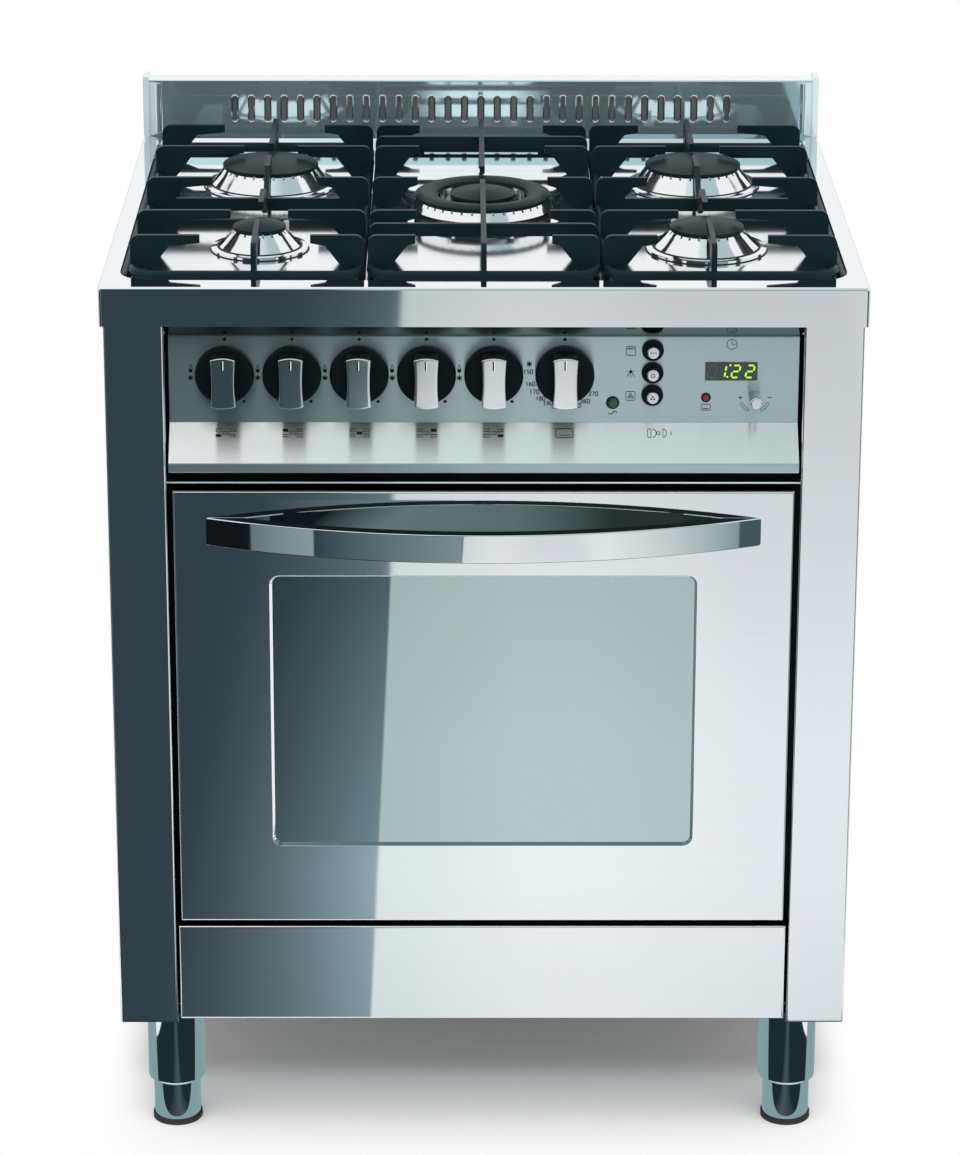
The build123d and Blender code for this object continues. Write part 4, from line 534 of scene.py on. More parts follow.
def lever_face():
    """Lever face: a section of half width waist + flare (z/25)^2 with round front corners, carried up Z.

    The front falls back by its crown and over the rounded ends; the ends bow out."""
    edge = LEVER_HALF - np.array([0.0, 0.1, 0.35, 0.7])
    z = np.concatenate([-edge, np.linspace(-20.5, 20.5, 29), edge[::-1]])
    over = np.clip(LEVER_EDGE - (LEVER_HALF - np.abs(z)), 0, LEVER_EDGE)
    front = LEVER_FRONT + crown(z) + LEVER_EDGE - np.sqrt(LEVER_EDGE**2 - over**2)
    half = LEVER_WAIST + LEVER_FLARE * (z / 25) ** 2
    turn = np.radians(np.linspace(0, 90, 4))
    side = np.concatenate([[1.0], np.full(4, 1.0), [0.75, 0.5, 0.25, 0.0]])
    drawn = np.concatenate([[0.0], LEVER_EDGE * (1 - np.cos(turn)), np.zeros(4)])
    sunk = np.concatenate([[2.2], LEVER_EDGE * (1 - np.sin(turn)), np.zeros(4)])
    right = np.stack([side[None] * half[:, None] - drawn[None], front[:, None] + sunk[None]], -1)
    left = right[:, -2::-1] * [-1, 1]
    section = np.concatenate([right, left], 1)
    outer = np.sign(z) * np.abs(z / LEVER_HALF) ** 6
    bow = LEVER_BOW * (1 - (section[..., 0] / half[:, None]) ** 2) * outer[:, None]
    rows = np.concatenate([section, (z[:, None] + bow)[..., None]], -1)
    return outward(loft(rows))


def lever_body():
    """Black body behind the lever face: its outline drawn in a little, carried back into the collar."""
    z = np.linspace(-22.5, 23.0, 17)
    half = LEVER_WAIST - 0.7 + (LEVER_FLARE - 0.1) * (z / 25) ** 2
    outline = np.concatenate([np.stack([half, z], -1), np.stack([-half, z], -1)[::-1]])
    return raised(outline, [(-266.0, 0), (-291.4, 0), (-292.0, 0.5)])


def lever_line(left, right):
    """One side of the pointer groove: a narrow strip over the face's crown near its top, laid black as
    painted shade on one side and pale as painted highlight on the other.
    """
    z = np.linspace(13.0, 21.6, 8)
    lift = LEVER_FRONT + crown(z)
    across = np.array([left, right, right, left])
    proud = np.array([0.3, 0.3, -0.06, -0.06])
    return outward(loft([np.stack([across, y + proud, np.full(4, h)], -1) for y, h in zip(lift, z)]))


for label, x in KNOB_X.items():
    there = (x, 0, CONTROL_Z)
    knob = label + "_knob"
    face = moved(lever_face(), there)
    put(label + "_lever", face, lever_steel, knob, replaces=[knob + "_grip"])
    put(label + "_lever_body", moved(lever_body(), there), knob_plastic, knob)
    # Pointer groove: a black strip of painted shade on its left side and a pale strip of painted highlight on
    # its right
    put(label + "_groove", moved(lever_line(-1.3, 0.0), there), knob_plastic, knob)
    put(label + "_painted_highlight", moved(lever_line(0.0, 0.7), there), groove_painted_highlight, knob)


# Door handle: a bowed bar with a dark top

BOW_CENTRE = 356.86
BOW_RADIUS = 680.36
BAR_DEPTH = 12.5
BAR_HEIGHT = 27.3
BAR_CORNER = 1.6
BAR_Z = 620.35


def handle_bar():
    """Bar between two arcs about one centre, the inner a bar's depth less, ending in the door's face.

    Each ring is a rounded rectangle of radius and height; near the ends its height draws in over a corner."""
    section = rounded(BAR_DEPTH, BAR_HEIGHT, 1.1, 5)
    tip = 1 - np.array([0, 0.0003, 0.0012, 0.0028, 0.005, 0.0065])
    reach = np.concatenate([tip, np.linspace(0.97, 0.0, 40)])
    reach = np.concatenate([reach, -reach[-2::-1]])
    radius = BOW_RADIUS - BAR_DEPTH / 2 + section[:, 0]
    limit = np.arccos(np.minimum(1, (BOW_CENTRE - FACE) / radius))
    half_length = BOW_RADIUS * math.acos((BOW_CENTRE - FACE) / BOW_RADIUS)
    left = np.minimum((1 - np.abs(reach)) * half_length, BAR_CORNER)
    drawn = BAR_CORNER - np.sqrt(BAR_CORNER**2 - (BAR_CORNER - left) ** 2)
    theta = reach[:, None] * limit[None]
    height = BAR_Z + section[None, :, 1] * (1 - drawn[:, None] / (BAR_HEIGHT / 2))
    rows = np.stack([radius[None] * np.sin(theta), BOW_CENTRE - radius[None] * np.cos(theta), height], -1)
    return outward(loft(rows))


def above_or_below(x, y, z):
    """The bar's top and its foot."""
    return (z > BAR_Z + BAR_HEIGHT / 2 - 0.05) | (z < BAR_Z - BAR_HEIGHT / 2 + 0.8)


bar = put("handle_bar", handle_bar(), polished_steel, "oven_door", replaces=["door_handle"])
zone(bar, handle_top, above_or_below)


# Brow: the polished strip between the hob's apron and the knob face, its steel darkened as painted shade
# under the apron

BROW_HALF = 291.0


def brow():
    """A thin sheet sloping from under the apron down to the top of the knob face."""
    profile = np.array([[-274.0, 817.5], [-257.2, 805.0], [-256.6, 805.8], [-273.4, 818.3]])
    places = np.linspace(-BROW_HALF, BROW_HALF, 9)
    return outward(loft([np.stack([np.full(4, x), profile[:, 0], profile[:, 1]], -1) for x in places]))


put("brow", brow(), brow_painted_shade, "cooker")


# Door window: a lip that leaves a narrow bevel round the glass, with painted shade at the right and below

WINDOW_HALF = 200.0
WINDOW_TALL = 275.0
WINDOW_Z = 441.5


def window_lip():
    """The door's face carried 1.7 mm inwards round the window's outline."""
    outline = rounded(2 * WINDOW_HALF, WINDOW_TALL, 11.0, 8)
    lip = [(0.5, -0.3), (0.5, 0.02), (-1.5, 0.02), (-1.7, -0.2), (-1.7, -1.6), (-1.2, -1.6)]
    return moved(swept(outline, lip), (0, FACE, WINDOW_Z))


def right_or_low_bevel(x, y, z):
    """The right and lower sides of the bevel that the door's skin has round the window."""
    low = WINDOW_Z - WINDOW_TALL / 2
    bevel = (y > FACE + 0.1) & (y < FACE + 3.9)
    bevel &= (np.abs(x) < WINDOW_HALF + 0.3) & (np.abs(z - WINDOW_Z) < WINDOW_TALL / 2 + 0.5)
    return bevel & ((x > WINDOW_HALF - 8) | (z < low + 7))


put("window_lip", window_lip(), polished_steel, "oven_door", smooth=25)
# Darker steel on the bevel's right and lower sides: painted shade
zone(nodes["door_skin"], bead_shade, right_or_low_bevel)


# Guard: a raised rim round each vent slot

SLOT_COUNT = 31
SLOT_PITCH = 17.0
SLOT_Z = 884.6


def slot_rims():
    """Half round beads along the outline of each slot: two half circles and the straights between them."""
    outline = np.concatenate([arc((0, 11.0), 3.1, 0, 180, 9), arc((0, -11.0), 3.1, 180, 360, 9)])
    one = swept(outline, [(0.75, -0.2), (0.5, 0.45), (0, 0.7), (-0.5, 0.45), (-0.75, -0.2)])
    places = SLOT_PITCH * (np.arange(SLOT_COUNT) - SLOT_COUNT // 2)
    return joined(*[moved(one, (x, GUARD_FACE, SLOT_Z)) for x in places])


put("slot_rims", slot_rims(), chrome, "cooker")


# Burners: dark rings of painted shade, one in the step at the foot of each crown and one as a painted contact
# shadow round its base

BURNERS = [
    (-211, 170, 46, 39), (-211, 410, 66, 59), (211, 410, 66, 59), (211, 170, 57, 50), (0, 292, 80, 69.5)]


def burner_shade_rings():
    """Two thin dark closed rings at each burner as painted shade: one in the step of its base and one on the
    well as painted contact shadow.

    A burner is its place across and behind the apron's front, then the radii of its base and crown."""
    rings = []
    for x, y, base, foot in BURNERS:
        groove = [(foot - 0.6, 3.6), (foot - 0.6, 4.5), (foot + 1.6, 4.1), (foot + 1.6, 3.2)]
        line = [(base - 1.2, 0.0), (base - 1.2, 1.4), (base + 1.0, 0.5), (base + 1.0, 0.0)]
        rings += [moved(turned_ring(profile), (x, FRONT + y, WELL)) for profile in (groove, line)]
    return joined(*rings)


# The dark rings are painted shade, not parts of the burners
put("burner_shade_rings", burner_shade_rings(), cap_enamel, "cooker")


# Dark rings round the two pilot lamps

MAINS_LAMP = (118.3, 740.0)
OVEN_LAMP = (203.8, 745.0)


def lamp_ring(radius, x, z):
    """A half round bead along a circle on the knob face."""
    circle = arc((0, 0), radius, 0, 350, 36)
    bead = swept(circle, [(0.7, -0.1), (0.5, 0.7), (0, 1.0), (-0.5, 0.7), (-0.7, -0.1)])
    return moved(bead, (x, KNOB_FACE, z))


lamp_rings = joined(lamp_ring(5.5, *MAINS_LAMP), lamp_ring(3.9, *OVEN_LAMP))
put("lamp_rings", lamp_rings, knob_plastic, "cooker")


# Small signs on the three buttons

def button_signs():
    """Three teeth, a ring and a three bladed sign, one for each button."""
    tooth = raised(np.array([[-0.9, 0.8], [0, -0.7], [0.9, 0.8]]), [(0, 0), (-0.12, 0)])
    teeth = [moved(tooth, (x, 0, 0)) for x in (-2.2, 0.0, 2.2)]
    circle = ribbon(arc((0, 0), 1.7, 0, 330, 12), 0.7, 0.12, closed=True)
    turns = np.radians([90, 210, 330])
    blades = [moved(disc(0.9, 0.12, 10), (1.5 * math.cos(t), 0, 1.5 * math.sin(t))) for t in turns]
    return {"grill_button": joined(*teeth), "lamp_button": circle, "fan_button": joined(*blades)}


BUTTON_X = 154.5
BUTTON_FRONT = -267.5
BUTTON_Z = {"grill_button": 790.5, "lamp_button": CONTROL_Z, "fan_button": 747.5}


# Printed marks of the fascia: thin ink on the knob face and on the ledge

INK = 0.15
GLYPHS = {
    "0": [(0, 0.2), (0.15, 0), (0.45, 0), (0.6, 0.2), (0.6, 0.8), (0.45, 1), (0.15, 1), (0, 0.8), (0, 0.2)],
    "1": [(0.08, 0.78), (0.34, 1), (0.34, 0)],
    "2": [(0, 0.8), (0.15, 1), (0.45, 1), (0.6, 0.8), (0.55, 0.58), (0, 0), (0.6, 0)],
    "4": [(0.45, 0), (0.45, 1), (0, 0.3), (0.6, 0.3)],
    "5": [(0.55, 1), (0.08, 1), (0.03, 0.55), (0.4, 0.6), (0.6, 0.4), (0.55, 0.12), (0.35, 0), (0, 0.08)],
    "6": [(0.5, 1), (0.15, 0.75), (0, 0.35), (0.12, 0.03), (0.45, 0), (0.6, 0.28), (0.45, 0.55),
          (0.05, 0.45)],
    "7": [(0, 1), (0.6, 1), (0.2, 0)],
    "8": [(0.3, 0.54), (0.06, 0.72), (0.15, 0.97), (0.45, 0.97), (0.54, 0.72), (0.3, 0.54), (0, 0.28),
          (0.14, 0), (0.46, 0), (0.6, 0.28), (0.3, 0.54)],
    "9": [(0.1, 0), (0.45, 0.25), (0.6, 0.65), (0.48, 0.97), (0.15, 1), (0, 0.72), (0.15, 0.45),
          (0.55, 0.55)],
}


def number(text, height, line):
    """A number as pen strokes, its middle at the origin."""
    step = 0.85 * height
    start = -step * len(text) / 2 + 0.12 * height
    digits = []
    for place, digit in enumerate(text):
        shift = np.array([start + place * step, -height / 2])
        digits.append(ribbon(np.array(GLYPHS[digit]) * height + shift, line, INK))
    return joined(*digits)


def ring(radius, line, count=24):
    """A printed circle."""
    return ribbon(arc((0, 0), radius, 0, 360 - 360 / count, count), line, INK, closed=True)


def frame_line(width, height, radius, line):
    """A printed rectangle with round corners."""
    return ribbon(rounded(width, height, radius, 4), line, INK, closed=True)


def at(shell, x, z):
    """A mark shifted across its face."""
    return moved(shell, (x, 0, z))


def strokes(line, *paths):
    """Several printed lines of one width."""
    return joined(*[ribbon(path, line, INK) for path in paths])


def spark():
    """A six pointed spark."""
    points = [2.7 * np.array([math.cos(t), math.sin(t)]) for t in np.radians([30, 90, 150])]
    return strokes(1.15, *[[-point, point] for point in points])


def flame():
    """A flame drop: a filled round foot in an outline with a drawn out tip."""
    t = np.linspace(0, 2 * math.pi, 22, endpoint=False)
    lobe = np.stack([2.2 * np.sin(t) * np.sin(t / 2) ** 1.5, 3.8 * np.cos(t)], -1)
    foot = raised(arc((0, -1.9), 1.5, 0, 340, 18), [(0, 0), (-INK, 0)])
    return joined(ribbon(np.roll(lobe, 3, 0), 0.6, INK, closed=True), foot)


def knob_marks():
    """Marks round the burner knobs: a dot above, a flame and a spark at the left, a dot low at the right."""
    marks = joined(
        at(disc(1.6, INK), 0, 31.5), at(flame(), -31.5, 3.6), at(spark(), -31.5, -5.4),
        at(disc(1.5, INK), 17.0, -28.0))
    return joined(*[at(marks, x, CONTROL_Z) for label, x in KNOB_X.items() if label != "oven"])


def oven_marks():
    """Marks round the oven knob: a dot above, a spark, and the heats round the rim."""
    heats = {"150": 180, "160": 200, "170": 214, "180": 229, "190": 243, "200": 257, "220": 272, "240": 288,
             "260": 304, "270": 322}
    marks = [at(disc(1.6, INK), 0, 31.5), at(spark(), -32.5, 8.0)]
    for text, angle in heats.items():
        t = math.radians(angle)
        marks.append(at(number(text, 3.7, 0.8), 33.5 * math.cos(t), 34.0 * math.sin(t) + 0.5))
    return at(joined(*marks), KNOB_X["oven"], CONTROL_Z)


SWITCH_SIGN_X = 134.5


def switch_marks():
    """Signs beside the switches: grill, lamp and fan."""
    box = frame_line(8.4, 8.4, 0.9, 0.55)
    teeth = strokes(0.6, *[[(x - 0.9, 2.6), (x, 1.0), (x + 0.9, 2.6)] for x in (-2.3, 0.0, 2.3)])
    top_line = strokes(0.5, [(-3.6, 2.7), (3.6, 2.7)])
    rays = [[(-1.2, 0.6), (-3.6, -3.2)], [(1.2, 0.6), (3.6, -3.2)], [(0, -0.6), (0, -3.6)],
            [(-3.6, 2.4), (-2.2, 2.0)], [(3.6, 2.4), (2.2, 2.0)], [(0, 3.2), (0, 4.4)]]
    bulb = joined(at(disc(1.5, INK), 0, 1.6), strokes(0.6, *rays))
    t = np.linspace(0, 2 * math.pi, 14, endpoint=False)
    petal = np.stack([1.0 * np.cos(t), 1.7 + 1.2 * np.sin(t)], -1)
    blades = []
    for a in np.radians([0, 120, 240]):
        turn = np.array([[math.cos(a), -math.sin(a)], [math.sin(a), math.cos(a)]])
        blades.append(at(ribbon(petal @ turn.T, 0.55, INK, closed=True), 0, -0.4))
    return joined(
        at(joined(box, teeth, top_line), SWITCH_SIGN_X, 789.6), at(bulb, SWITCH_SIGN_X, 768.0),
        at(joined(box, *blades), SWITCH_SIGN_X, 746.5))


TIMER = (248.7, 745.0)


def clock_marks():
    """Signs by the lamps, the clock and its knob: wave, oven, clock face, plus, minus and two arrows."""
    t = np.linspace(-1, 1, 13)
    wave = ribbon(np.stack([4.0 * t, 1.5 * np.sin(math.pi * t)], -1), 0.8, INK)
    oven = joined(frame_line(8.6, 5.6, 0.8, 0.55), strokes(0.8, [(-2.6, -1.2), (2.6, -1.2)]))
    face = joined(ring(4.7, 0.6), strokes(0.6, [(0, 3.4), (0, 0), (3.0, 0)]))
    plus = strokes(0.6, [(-1.9, 0), (1.9, 0)], [(0, -1.9), (0, 1.9)])
    minus = strokes(0.6, [(-1.9, 0), (1.9, 0)])
    arrows = []
    for low, high in ((203, 246), (294, 337)):
        outline = np.concatenate([arc((0, 0), 14.5, low, high, 7), arc((0, 0), 12.2, high, low, 7)])
        arrows.append(ribbon(outline, 0.45, INK, closed=True))
    knob = at(joined(at(plus, -13.3, 0), at(minus, 13.7, 0), *arrows), *TIMER)
    return joined(
        at(wave, MAINS_LAMP[0], MAINS_LAMP[1] - 9.7), at(oven, OVEN_LAMP[0], OVEN_LAMP[1] - 9.4),
        at(face, 226.8, 796.0), knob)


LEDGE_DOWN = np.array([0, -0.6831, -0.7302])
LEDGE_TOP = np.array([0, KNOB_FACE, 721.0])


def ledge_marks():
    """Signs on the ledge: five plates with one filled under each burner knob, an oven, a pressed switch."""
    plates = {"front_left": (-6.4, -2.7), "rear_left": (-6.4, 2.7), "centre": (0, 0),
              "rear_right": (6.4, 2.7), "front_right": (6.4, -2.7)}
    filled = raised(rounded(5.2, 3.0, 0.4, 3), [(0, 0), (-INK, 0)])
    empty = frame_line(4.8, 2.6, 0.4, 0.7)
    marks = []
    for label in plates:
        for place, (u, w) in plates.items():
            marks.append(at(filled if place == label else empty, KNOB_X[label] + u, w))
    oven = joined(frame_line(15.4, 9.0, 1.6, 0.7), strokes(0.9, [(-4.6, -2.2), (4.6, -2.2)]))
    marks.append(at(oven, KNOB_X["oven"], 0))
    cup = ribbon(arc((0, 0), 4.2, 90, -90, 9) * [0.8, 1], 0.6, INK)
    switch = joined(
        frame_line(3.0, 8.4, 0.3, 0.6), at(cup, 3.0, 0), at(ring(1.6, 0.6, 12), 8.4, 0), at(cup, 12.5, 0),
        strokes(0.6, [(12.5, 4.2), (12.5, -4.2)]), at(strokes(0.6, [(0, 1.8), (0, -1.8)]), 20.0, 0))
    marks.append(at(switch, 152.0, 0))
    down, out = -LEDGE_DOWN[2], -LEDGE_DOWN[1]
    slope = np.array([[1, 0, 0], [0, down, out], [0, -out, down]])
    return moved(joined(*marks), LEDGE_TOP + 11.0 * LEDGE_DOWN, slope)


for label, sign in button_signs().items():
    there = (BUTTON_X, BUTTON_FRONT, BUTTON_Z[label])
    put(label + "_sign", moved(sign, there), print_ink, label)
for marks in (knob_marks, oven_marks, switch_marks, clock_marks):
    put(marks.__name__, moved(marks(), (0, KNOB_FACE, 0)), print_ink, "cooker")
put("ledge_marks", ledge_marks(), print_ink, "cooker")


# Clock display: dark glass with slanted seven line figures

def figure(lines, height=11.5, width=6.6):
    """A seven line figure leaning to the right, its foot at the origin; lines are named a to g."""
    half = height / 2
    gap = 0.9
    low, middle, high = ([(gap, z), (width - gap, z)] for z in (0, half, height))
    ends = {
        "a": high, "g": middle, "d": low,
        "f": [(0, half + gap), (0, height - gap)], "e": [(0, gap), (0, half - gap)],
        "b": [(width, half + gap), (width, height - gap)], "c": [(width, gap), (width, half - gap)]}
    shell = joined(*[ribbon(ends[line], 1.5, INK) for line in lines])
    lean = np.array([[1, 0, 0.17], [0, 1, 0], [0, 0, 1]])
    return moved(shell, turn=lean)


DISPLAY = np.array([226.6, 0, 770.2])
DISPLAY_FRONT = KNOB_FACE - 0.5


def on_display(shell, x, z):
    """A shell laid on the display's glass, from its middle."""
    return moved(shell, DISPLAY + [x, DISPLAY_FRONT, z])


edge = [(KNOB_FACE + 0.2, 0), (KNOB_FACE - 0.4, 0), (DISPLAY_FRONT, 0.15)]
glass = raised(rounded(48.0, 17.6, 2.0), edge)
put("display_window", moved(glass, DISPLAY), display_glass, "cooker")
FIGURE_FOOT = -5.75
figures = ((-12.9, "bc"), (-0.1, "abged"), (12.9, "abged"))
lit = [on_display(figure(lines), x, FIGURE_FOOT) for x, lines in figures]
lit += [on_display(disc(0.9, INK), x, z) for x, z in ((-3.6, -5.2), (-0.9, 6.0))]
put("clock_figures", joined(*lit), lit_digit, "cooker")
dark = on_display(figure("abcdef"), -21.6, FIGURE_FOOT)
put("clock_figure_dark", dark, dim_digit, "cooker")


# Camera, floor, light and the cards that the polished sheets reflect

def camera():
    """The photograph's view: place, pitch, yaw and roll from a fit of the cooker's corners."""
    pitch, yaw, roll = (math.radians(angle) for angle in (17.521, 0.342, -0.144))
    forward = np.array([math.sin(yaw) * math.cos(pitch), math.cos(yaw) * math.cos(pitch), -math.sin(pitch)])
    right = np.array([math.cos(yaw), -math.sin(yaw), 0])
    down = np.cross(forward, right)
    across = math.cos(roll) * right + math.sin(roll) * down
    under = -math.sin(roll) * right + math.cos(roll) * down
    data = bpy.data.cameras.new("camera")
    data.sensor_fit = "AUTO"
    data.lens = FOCAL * data.sensor_width / PHOTO_HEIGHT
    data.shift_y = -0.15
    data.clip_end = 60
    made = bpy.data.objects.new("camera", data)
    turn = np.eye(4)
    turn[:3, :3] = np.stack([across, -under, -forward], -1)
    turn[:3, 3] = np.array([-24.7, -3810.9, 1860.5]) * MM
    made.matrix_world = Matrix(turn.tolist())
    bpy.context.scene.collection.objects.link(made)
    bpy.context.scene.camera = made


def plane(name, corners, material):
    """A flat stage piece through four corners in metres."""
    mesh = bpy.data.meshes.new(name)
    mesh.from_pydata(corners, [], [(0, 1, 2, 3)])
    mesh.materials.append(material)
    made = bpy.data.objects.new(name, mesh)
    bpy.context.scene.collection.objects.link(made)
    return made


def level(x, y, z):
    """Corners of a level card over a range of x and y."""
    return [(x[0], y[0], z), (x[1], y[0], z), (x[1], y[1], z), (x[0], y[1], z)]


def upright(x, y, z):
    """Corners of an upright card over a range of x and z."""
    return [(x[0], y, z[0]), (x[1], y, z[0]), (x[1], y, z[1]), (x[0], y, z[1])]


def card(name, corners, tone, shown=None):
    """A glowing card that only reflections see.

    From the node tree and the card's place, tone gives its colour, and shown how far it isn't clear."""
    made = bpy.data.materials.new(name)
    made.use_nodes = True
    tree = made.node_tree
    tree.nodes.clear()
    place = node(tree, "SeparateXYZ", _0=node(tree, "TexCoord").outputs["Object"]).outputs
    surface = node(tree, "Emission", Color=tone(tree, place), Strength=1.0).outputs[0]
    if shown:
        clear = node(tree, "BsdfTransparent").outputs[0]
        surface = node(tree, "MixShader", _0=shown(tree, place), _1=clear, _2=surface).outputs[0]
    node(tree, "OutputMaterial", Surface=surface)
    piece = plane(name, corners, made)
    for ray in ("camera", "diffuse", "shadow", "transmission", "volume_scatter"):
        setattr(piece, "visible_" + ray, False)


def along(tree, value, stops):
    """A colour ramp over one coordinate; stops are places in metres, or slopes, and colours."""
    low, high = stops[0][0], stops[-1][0]
    shares = [((place - low) / (high - low), colour) for place, colour in stops]
    return ramp(tree, mapped(tree, value, low, high), shares)


def tinted(tree, blend, one, other):
    """Two colours multiplied or added."""
    return node(tree, "Mix", {"data_type": "RGBA", "blend_type": blend}, _0=1.0, _6=one, _7=other).outputs[2]


def chosen(tree, mask, one, other):
    """One colour where the mask is 0, the other where it is 1."""
    return node(tree, "Mix", {"data_type": "RGBA"}, _0=mask, _6=one, _7=other).outputs[2]


def greys(stops):
    """Stops of place and one value as stops of place and grey."""
    return [(place, (value, value, value)) for place, value in stops]


def plain(*colour):
    """The tone of a card of one colour."""
    return lambda tree, place: (*colour, 1)


def floor_tone(tree, place):
    """The floor as the front sheets see it: dark on the left, white past a straight edge, dim far out.

    The dark side brightens with the square of its nearness to the edge, less so far out. Far to both sides
    the zones follow rays from a point under the hob, so that the bowed handle shows them upright."""
    shade_left, glow_left, white = (0.035, 0.058, 0.068), (0.31, 0.40, 0.43), (1.0, 1.0, 1.0)
    slant = worked(tree, "DIVIDE", place["X"], worked(tree, "MULTIPLY_ADD", place["Y"], -1.0, -0.04))
    near = worked(tree, "POWER", mapped(tree, place["X"], -0.36, -0.11), 2.0)
    reach = along(tree, place["Y"], greys([(-4.0, 0.12), (-1.8, 0.4), (-0.9, 1.0), (-0.5, 0.75)]))
    rise = tinted(tree, "MULTIPLY", chosen(tree, near, (0, 0, 0, 1), (*glow_left, 1)), reach)
    left = tinted(tree, "ADD", (*shade_left, 1), rise)
    far_left = along(tree, slant, [
        (-0.841, (0.006, 0.008, 0.01)), (-0.833, (0.15, 0.21, 0.22)), (-0.554, (0.28, 0.37, 0.38)),
        (-0.546, shade_left)])
    right = along(tree, place["X"], [
        (-0.12, (0.84, 0.9, 0.88)), (0.05, white), (0.14, white), (0.36, (0.9, 0.92, 0.93))])
    far_right = along(tree, slant, [(0.4, white), (0.985, (0.27, 0.36, 0.37)), (0.993, (0.07, 0.11, 0.11))])
    fading = greys([(-6.0, 0.5), (-2.4, 0.79), (-1.25, 1.0), (-0.875, 1.0), (-0.5, 0.9)])
    left = chosen(tree, mapped(tree, place["X"], -0.58, -0.6), left, far_left)
    right = chosen(tree, mapped(tree, place["X"], 0.6, 0.66), right, far_right)
    right = tinted(tree, "MULTIPLY", right, along(tree, place["Y"], fading))
    return chosen(tree, mapped(tree, place["X"], -0.1145, -0.1115), left, right)


def sheen_tone(tree, place):
    """What the left half of the bowed handle shows: dark, brightening towards the middle."""
    return along(tree, place["X"], [(-0.21, (0.035, 0.065, 0.075)), (-0.026, (0.23, 0.3, 0.32))])


def hollow_tone(lean):
    """What shows between the handle and the door, mirrored to and fro: grey in the middle, black at the ends.

    With a lean the black runs on further along the top."""
    def tone(tree, place):
        black, grey = (0.006, 0.01, 0.013), (0.14, 0.2, 0.2)
        stops = [(-0.165, black), (-0.09, grey), (0.03, shade(grey, 0.85)), (0.12, shade(grey, 0.18))]
        rise = worked(tree, "MULTIPLY_ADD", place["Z"], -lean, 0.62 * lean)
        return along(tree, worked(tree, "ADD", place["X"], rise), stops)
    return tone


def middle_only(tree, place):
    """A card that fades out towards its sides."""
    return mapped(tree, worked(tree, "ABSOLUTE", place["X"]), 0.075, 0.03)


def foot_tone(tree, place):
    """The floor before the feet: dark, with a paler streak beside the middle of each foot."""
    dark, pale = (0.014, 0.028, 0.033), (0.075, 0.11, 0.12)
    return along(tree, worked(tree, "ABSOLUTE", place["X"]), [(0.255, dark), (0.285, pale), (0.325, dark)])


def low_rays_only(tree, place):
    """A level card that is clear to rays steeper than about 33 degrees."""
    return mapped(tree, node(tree, "LayerWeight", Blend=0.5).outputs["Facing"], 0.42, 0.48)


def front_tone(tree, place):
    """Dark room far in front, dimmest at the left, which the brushed knob face spreads upwards."""
    return along(tree, place["X"], [
        (-0.33, (0.02, 0.03, 0.033)), (-0.23, (0.34, 0.42, 0.43)), (0.4, (0.38, 0.46, 0.47)),
        (1.0, (0.3, 0.37, 0.38))])


def sky_tone(tree, place):
    """Soft box over the front: brightest at the left, dimmer to the right, as the sloping ledge shows it."""
    return along(tree, place["X"], [
        (-0.38, (1.0, 1.0, 1.0)), (-0.2, (0.74, 0.85, 0.85)), (0.17, (0.65, 0.77, 0.76)),
        (0.7, (0.48, 0.6, 0.6))])


def cards():
    """Everything that the polished sheets reflect besides the floor and the sky."""
    card("floor_card", level((-6, 6), (-8, -0.52), 0.001), floor_tone)
    card("sky_card", level((-2, 2), (-2.6, 0), 3.2), sky_tone)
    card("front_card", upright((-5, 5), -6, (0, 4.6)), front_tone)
    card("handle_sheen", upright((-0.218, -0.026), -0.42, (0.546, 0.601)), sheen_tone)
    for end, lean in ((-0.185, 1.4), (0.185, 0.0)):
        corners = [(0, -0.305, 0.6), (end, -0.284, 0.6), (end, -0.284, 0.635), (0, -0.305, 0.6365)]
        card("handle_hollow", corners, hollow_tone(lean))
    for z in ((0.856, 0.869), (0.876, 0.884)):
        card("guard_sheen", upright((-0.08, 0.08), 0.215, z), plain(0.9, 0.96, 0.97), middle_only)
    card("foot_card", level((-0.5, 0.5), (-0.52, -0.262), 0.002), foot_tone, low_rays_only)
    card("foot_side", level((-0.64, 0.64), (-0.262, 0), 0.002), plain(0.26, 0.40, 0.41))
    for x in (-3.0, 3.0):
        corners = [(x, 0.9, 2.9), (x, 2.6, 2.3), (x, 2.6, 3.1), (x, 0.9, 3.7)]
        card("hob_card", corners, plain(0.02, 0.03, 0.035))


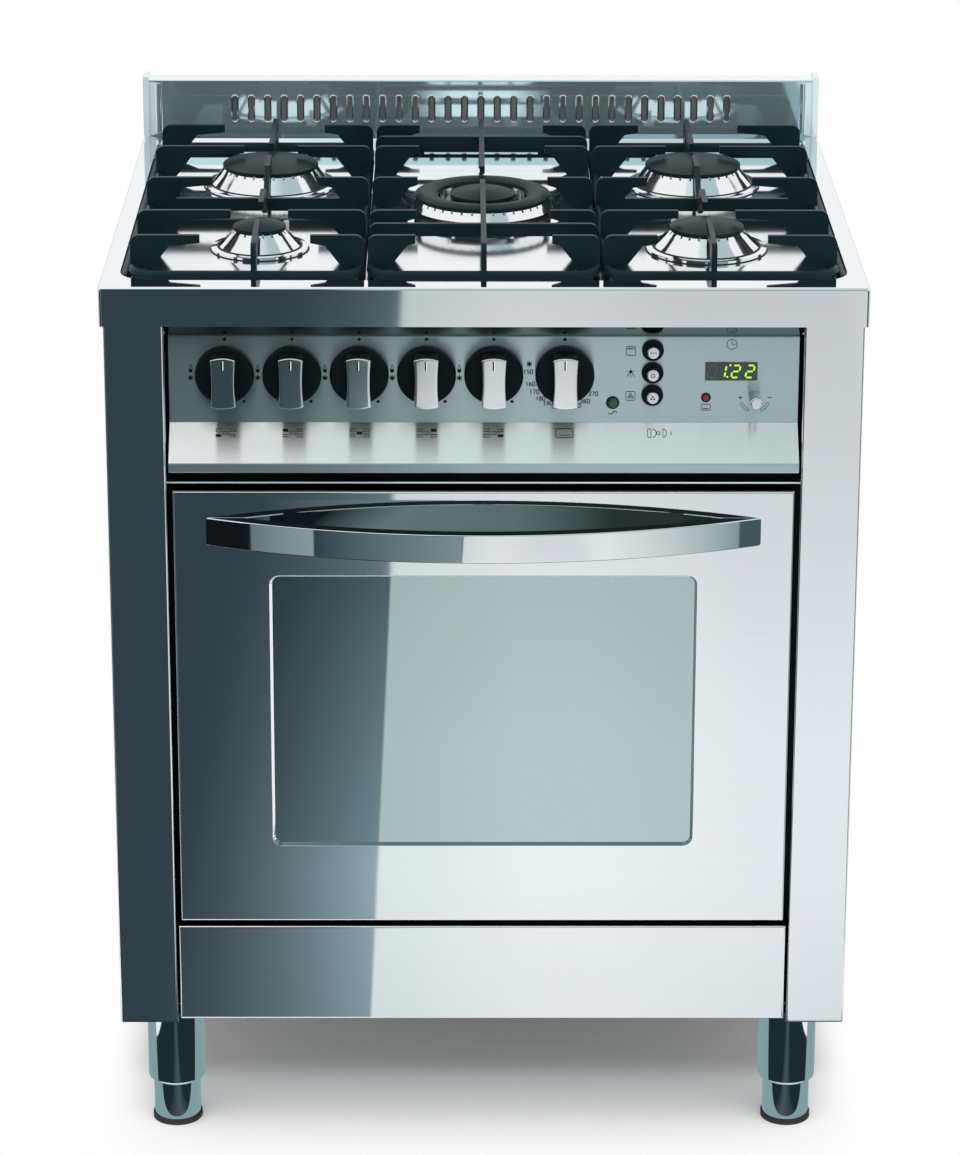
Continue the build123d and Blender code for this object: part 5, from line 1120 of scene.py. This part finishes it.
def floor():
    """Pale floor: near white paint that keeps the shade, and darker paint under the cooker as painted shadow;
    a step away the camera sees plain white.
    """
    made, tree, shader = finish(
        "floor", Roughness=0.9, Specular_IOR_Level=0.0, Emission_Color=(1, 1, 1, 1), Emission_Strength=0.04)
    place = node(tree, "TexCoord").outputs["Object"]
    depth = node(tree, "SeparateXYZ", _0=place).outputs["Y"]
    # Painted shadow: the paint darkens under the cooker
    under = mapped(tree, depth, -0.165, -0.105, "SMOOTHSTEP")
    paint = chosen(tree, under, (0.97, 0.945, 0.94, 1), (0.59, 0.55, 0.545, 1))
    tree.links.new(paint, shader.inputs["Base Color"])
    side = node(tree, "VectorMath", {"operation": "ABSOLUTE"}, _0=place).outputs[0]
    beyond = node(tree, "VectorMath", {"operation": "SUBTRACT"}, _0=side, _1=(0.305, 0.275, 0.0)).outputs[0]
    beyond = node(tree, "VectorMath", {"operation": "MAXIMUM"}, _0=beyond, _1=(0.0, 0.0, 0.0)).outputs[0]
    away = node(tree, "VectorMath", {"operation": "LENGTH"}, _0=beyond).outputs["Value"]
    seen = node(tree, "LightPath").outputs["Is Camera Ray"]
    factor = worked(tree, "MULTIPLY", mapped(tree, away, 0.0, 0.07, "SMOOTHSTEP"), seen)
    white = node(tree, "Emission", Color=(1, 1, 1, 1), Strength=1.0)
    mixed = node(tree, "MixShader", _0=factor, _1=shader.outputs[0], _2=white.outputs[0])
    tree.links.new(mixed.outputs[0], tree.nodes["Material Output"].inputs["Surface"])
    plane("floor", level((-30, 30), (-30, 30), 0), made)


def world():
    """Soft light, fuller from the front half; camera and mirror rays see plain white."""
    made = bpy.data.worlds.new("studio")
    made.use_nodes = True
    tree = made.node_tree
    tree.nodes.clear()
    path = node(tree, "LightPath").outputs
    seen = worked(tree, "MAXIMUM", path["Is Camera Ray"], path["Is Glossy Ray"])
    seen = worked(tree, "MAXIMUM", seen, path["Is Transmission Ray"])
    across = node(tree, "SeparateXYZ", _0=node(tree, "TexCoord").outputs["Generated"]).outputs["Y"]
    light = node(tree, "MapRange", Value=across, _1=-0.2, _2=0.2, _3=1.5, _4=0.4).outputs[0]
    strength = node(tree, "Mix", {"data_type": "FLOAT"}, _0=seen, _2=light, _3=1.0).outputs[0]
    back = node(tree, "Background", Color=(1, 1, 1, 1), Strength=strength)
    node(tree, "OutputWorld", Surface=back.outputs[0])
    bpy.context.scene.world = made


def lamp(name, place, aim, size, power):
    """A square soft lamp at a place in metres, turned to its aim."""
    data = bpy.data.lights.new(name, "AREA")
    data.shape = "SQUARE"
    data.size = size
    data.energy = power
    made = bpy.data.objects.new(name, data)
    bpy.context.scene.collection.objects.link(made)
    away = np.array(place, float) - np.array(aim, float)
    away /= np.linalg.norm(away)
    side = np.cross([0, 0, 1.0], away)
    side /= np.linalg.norm(side)
    turn = np.eye(4)
    turn[:3, :3] = np.stack([side, np.cross(away, side), away], -1)
    turn[:3, 3] = place
    made.matrix_world = Matrix(turn.tolist())
    made.visible_glossy = False
    made.visible_camera = False


camera()
floor()
cards()
world()
lamp("overhead", (0, -1.2, 3.2), (0, 0, 0), 3.0, 12)
bpy.context.scene.view_settings.view_transform = "Standard"
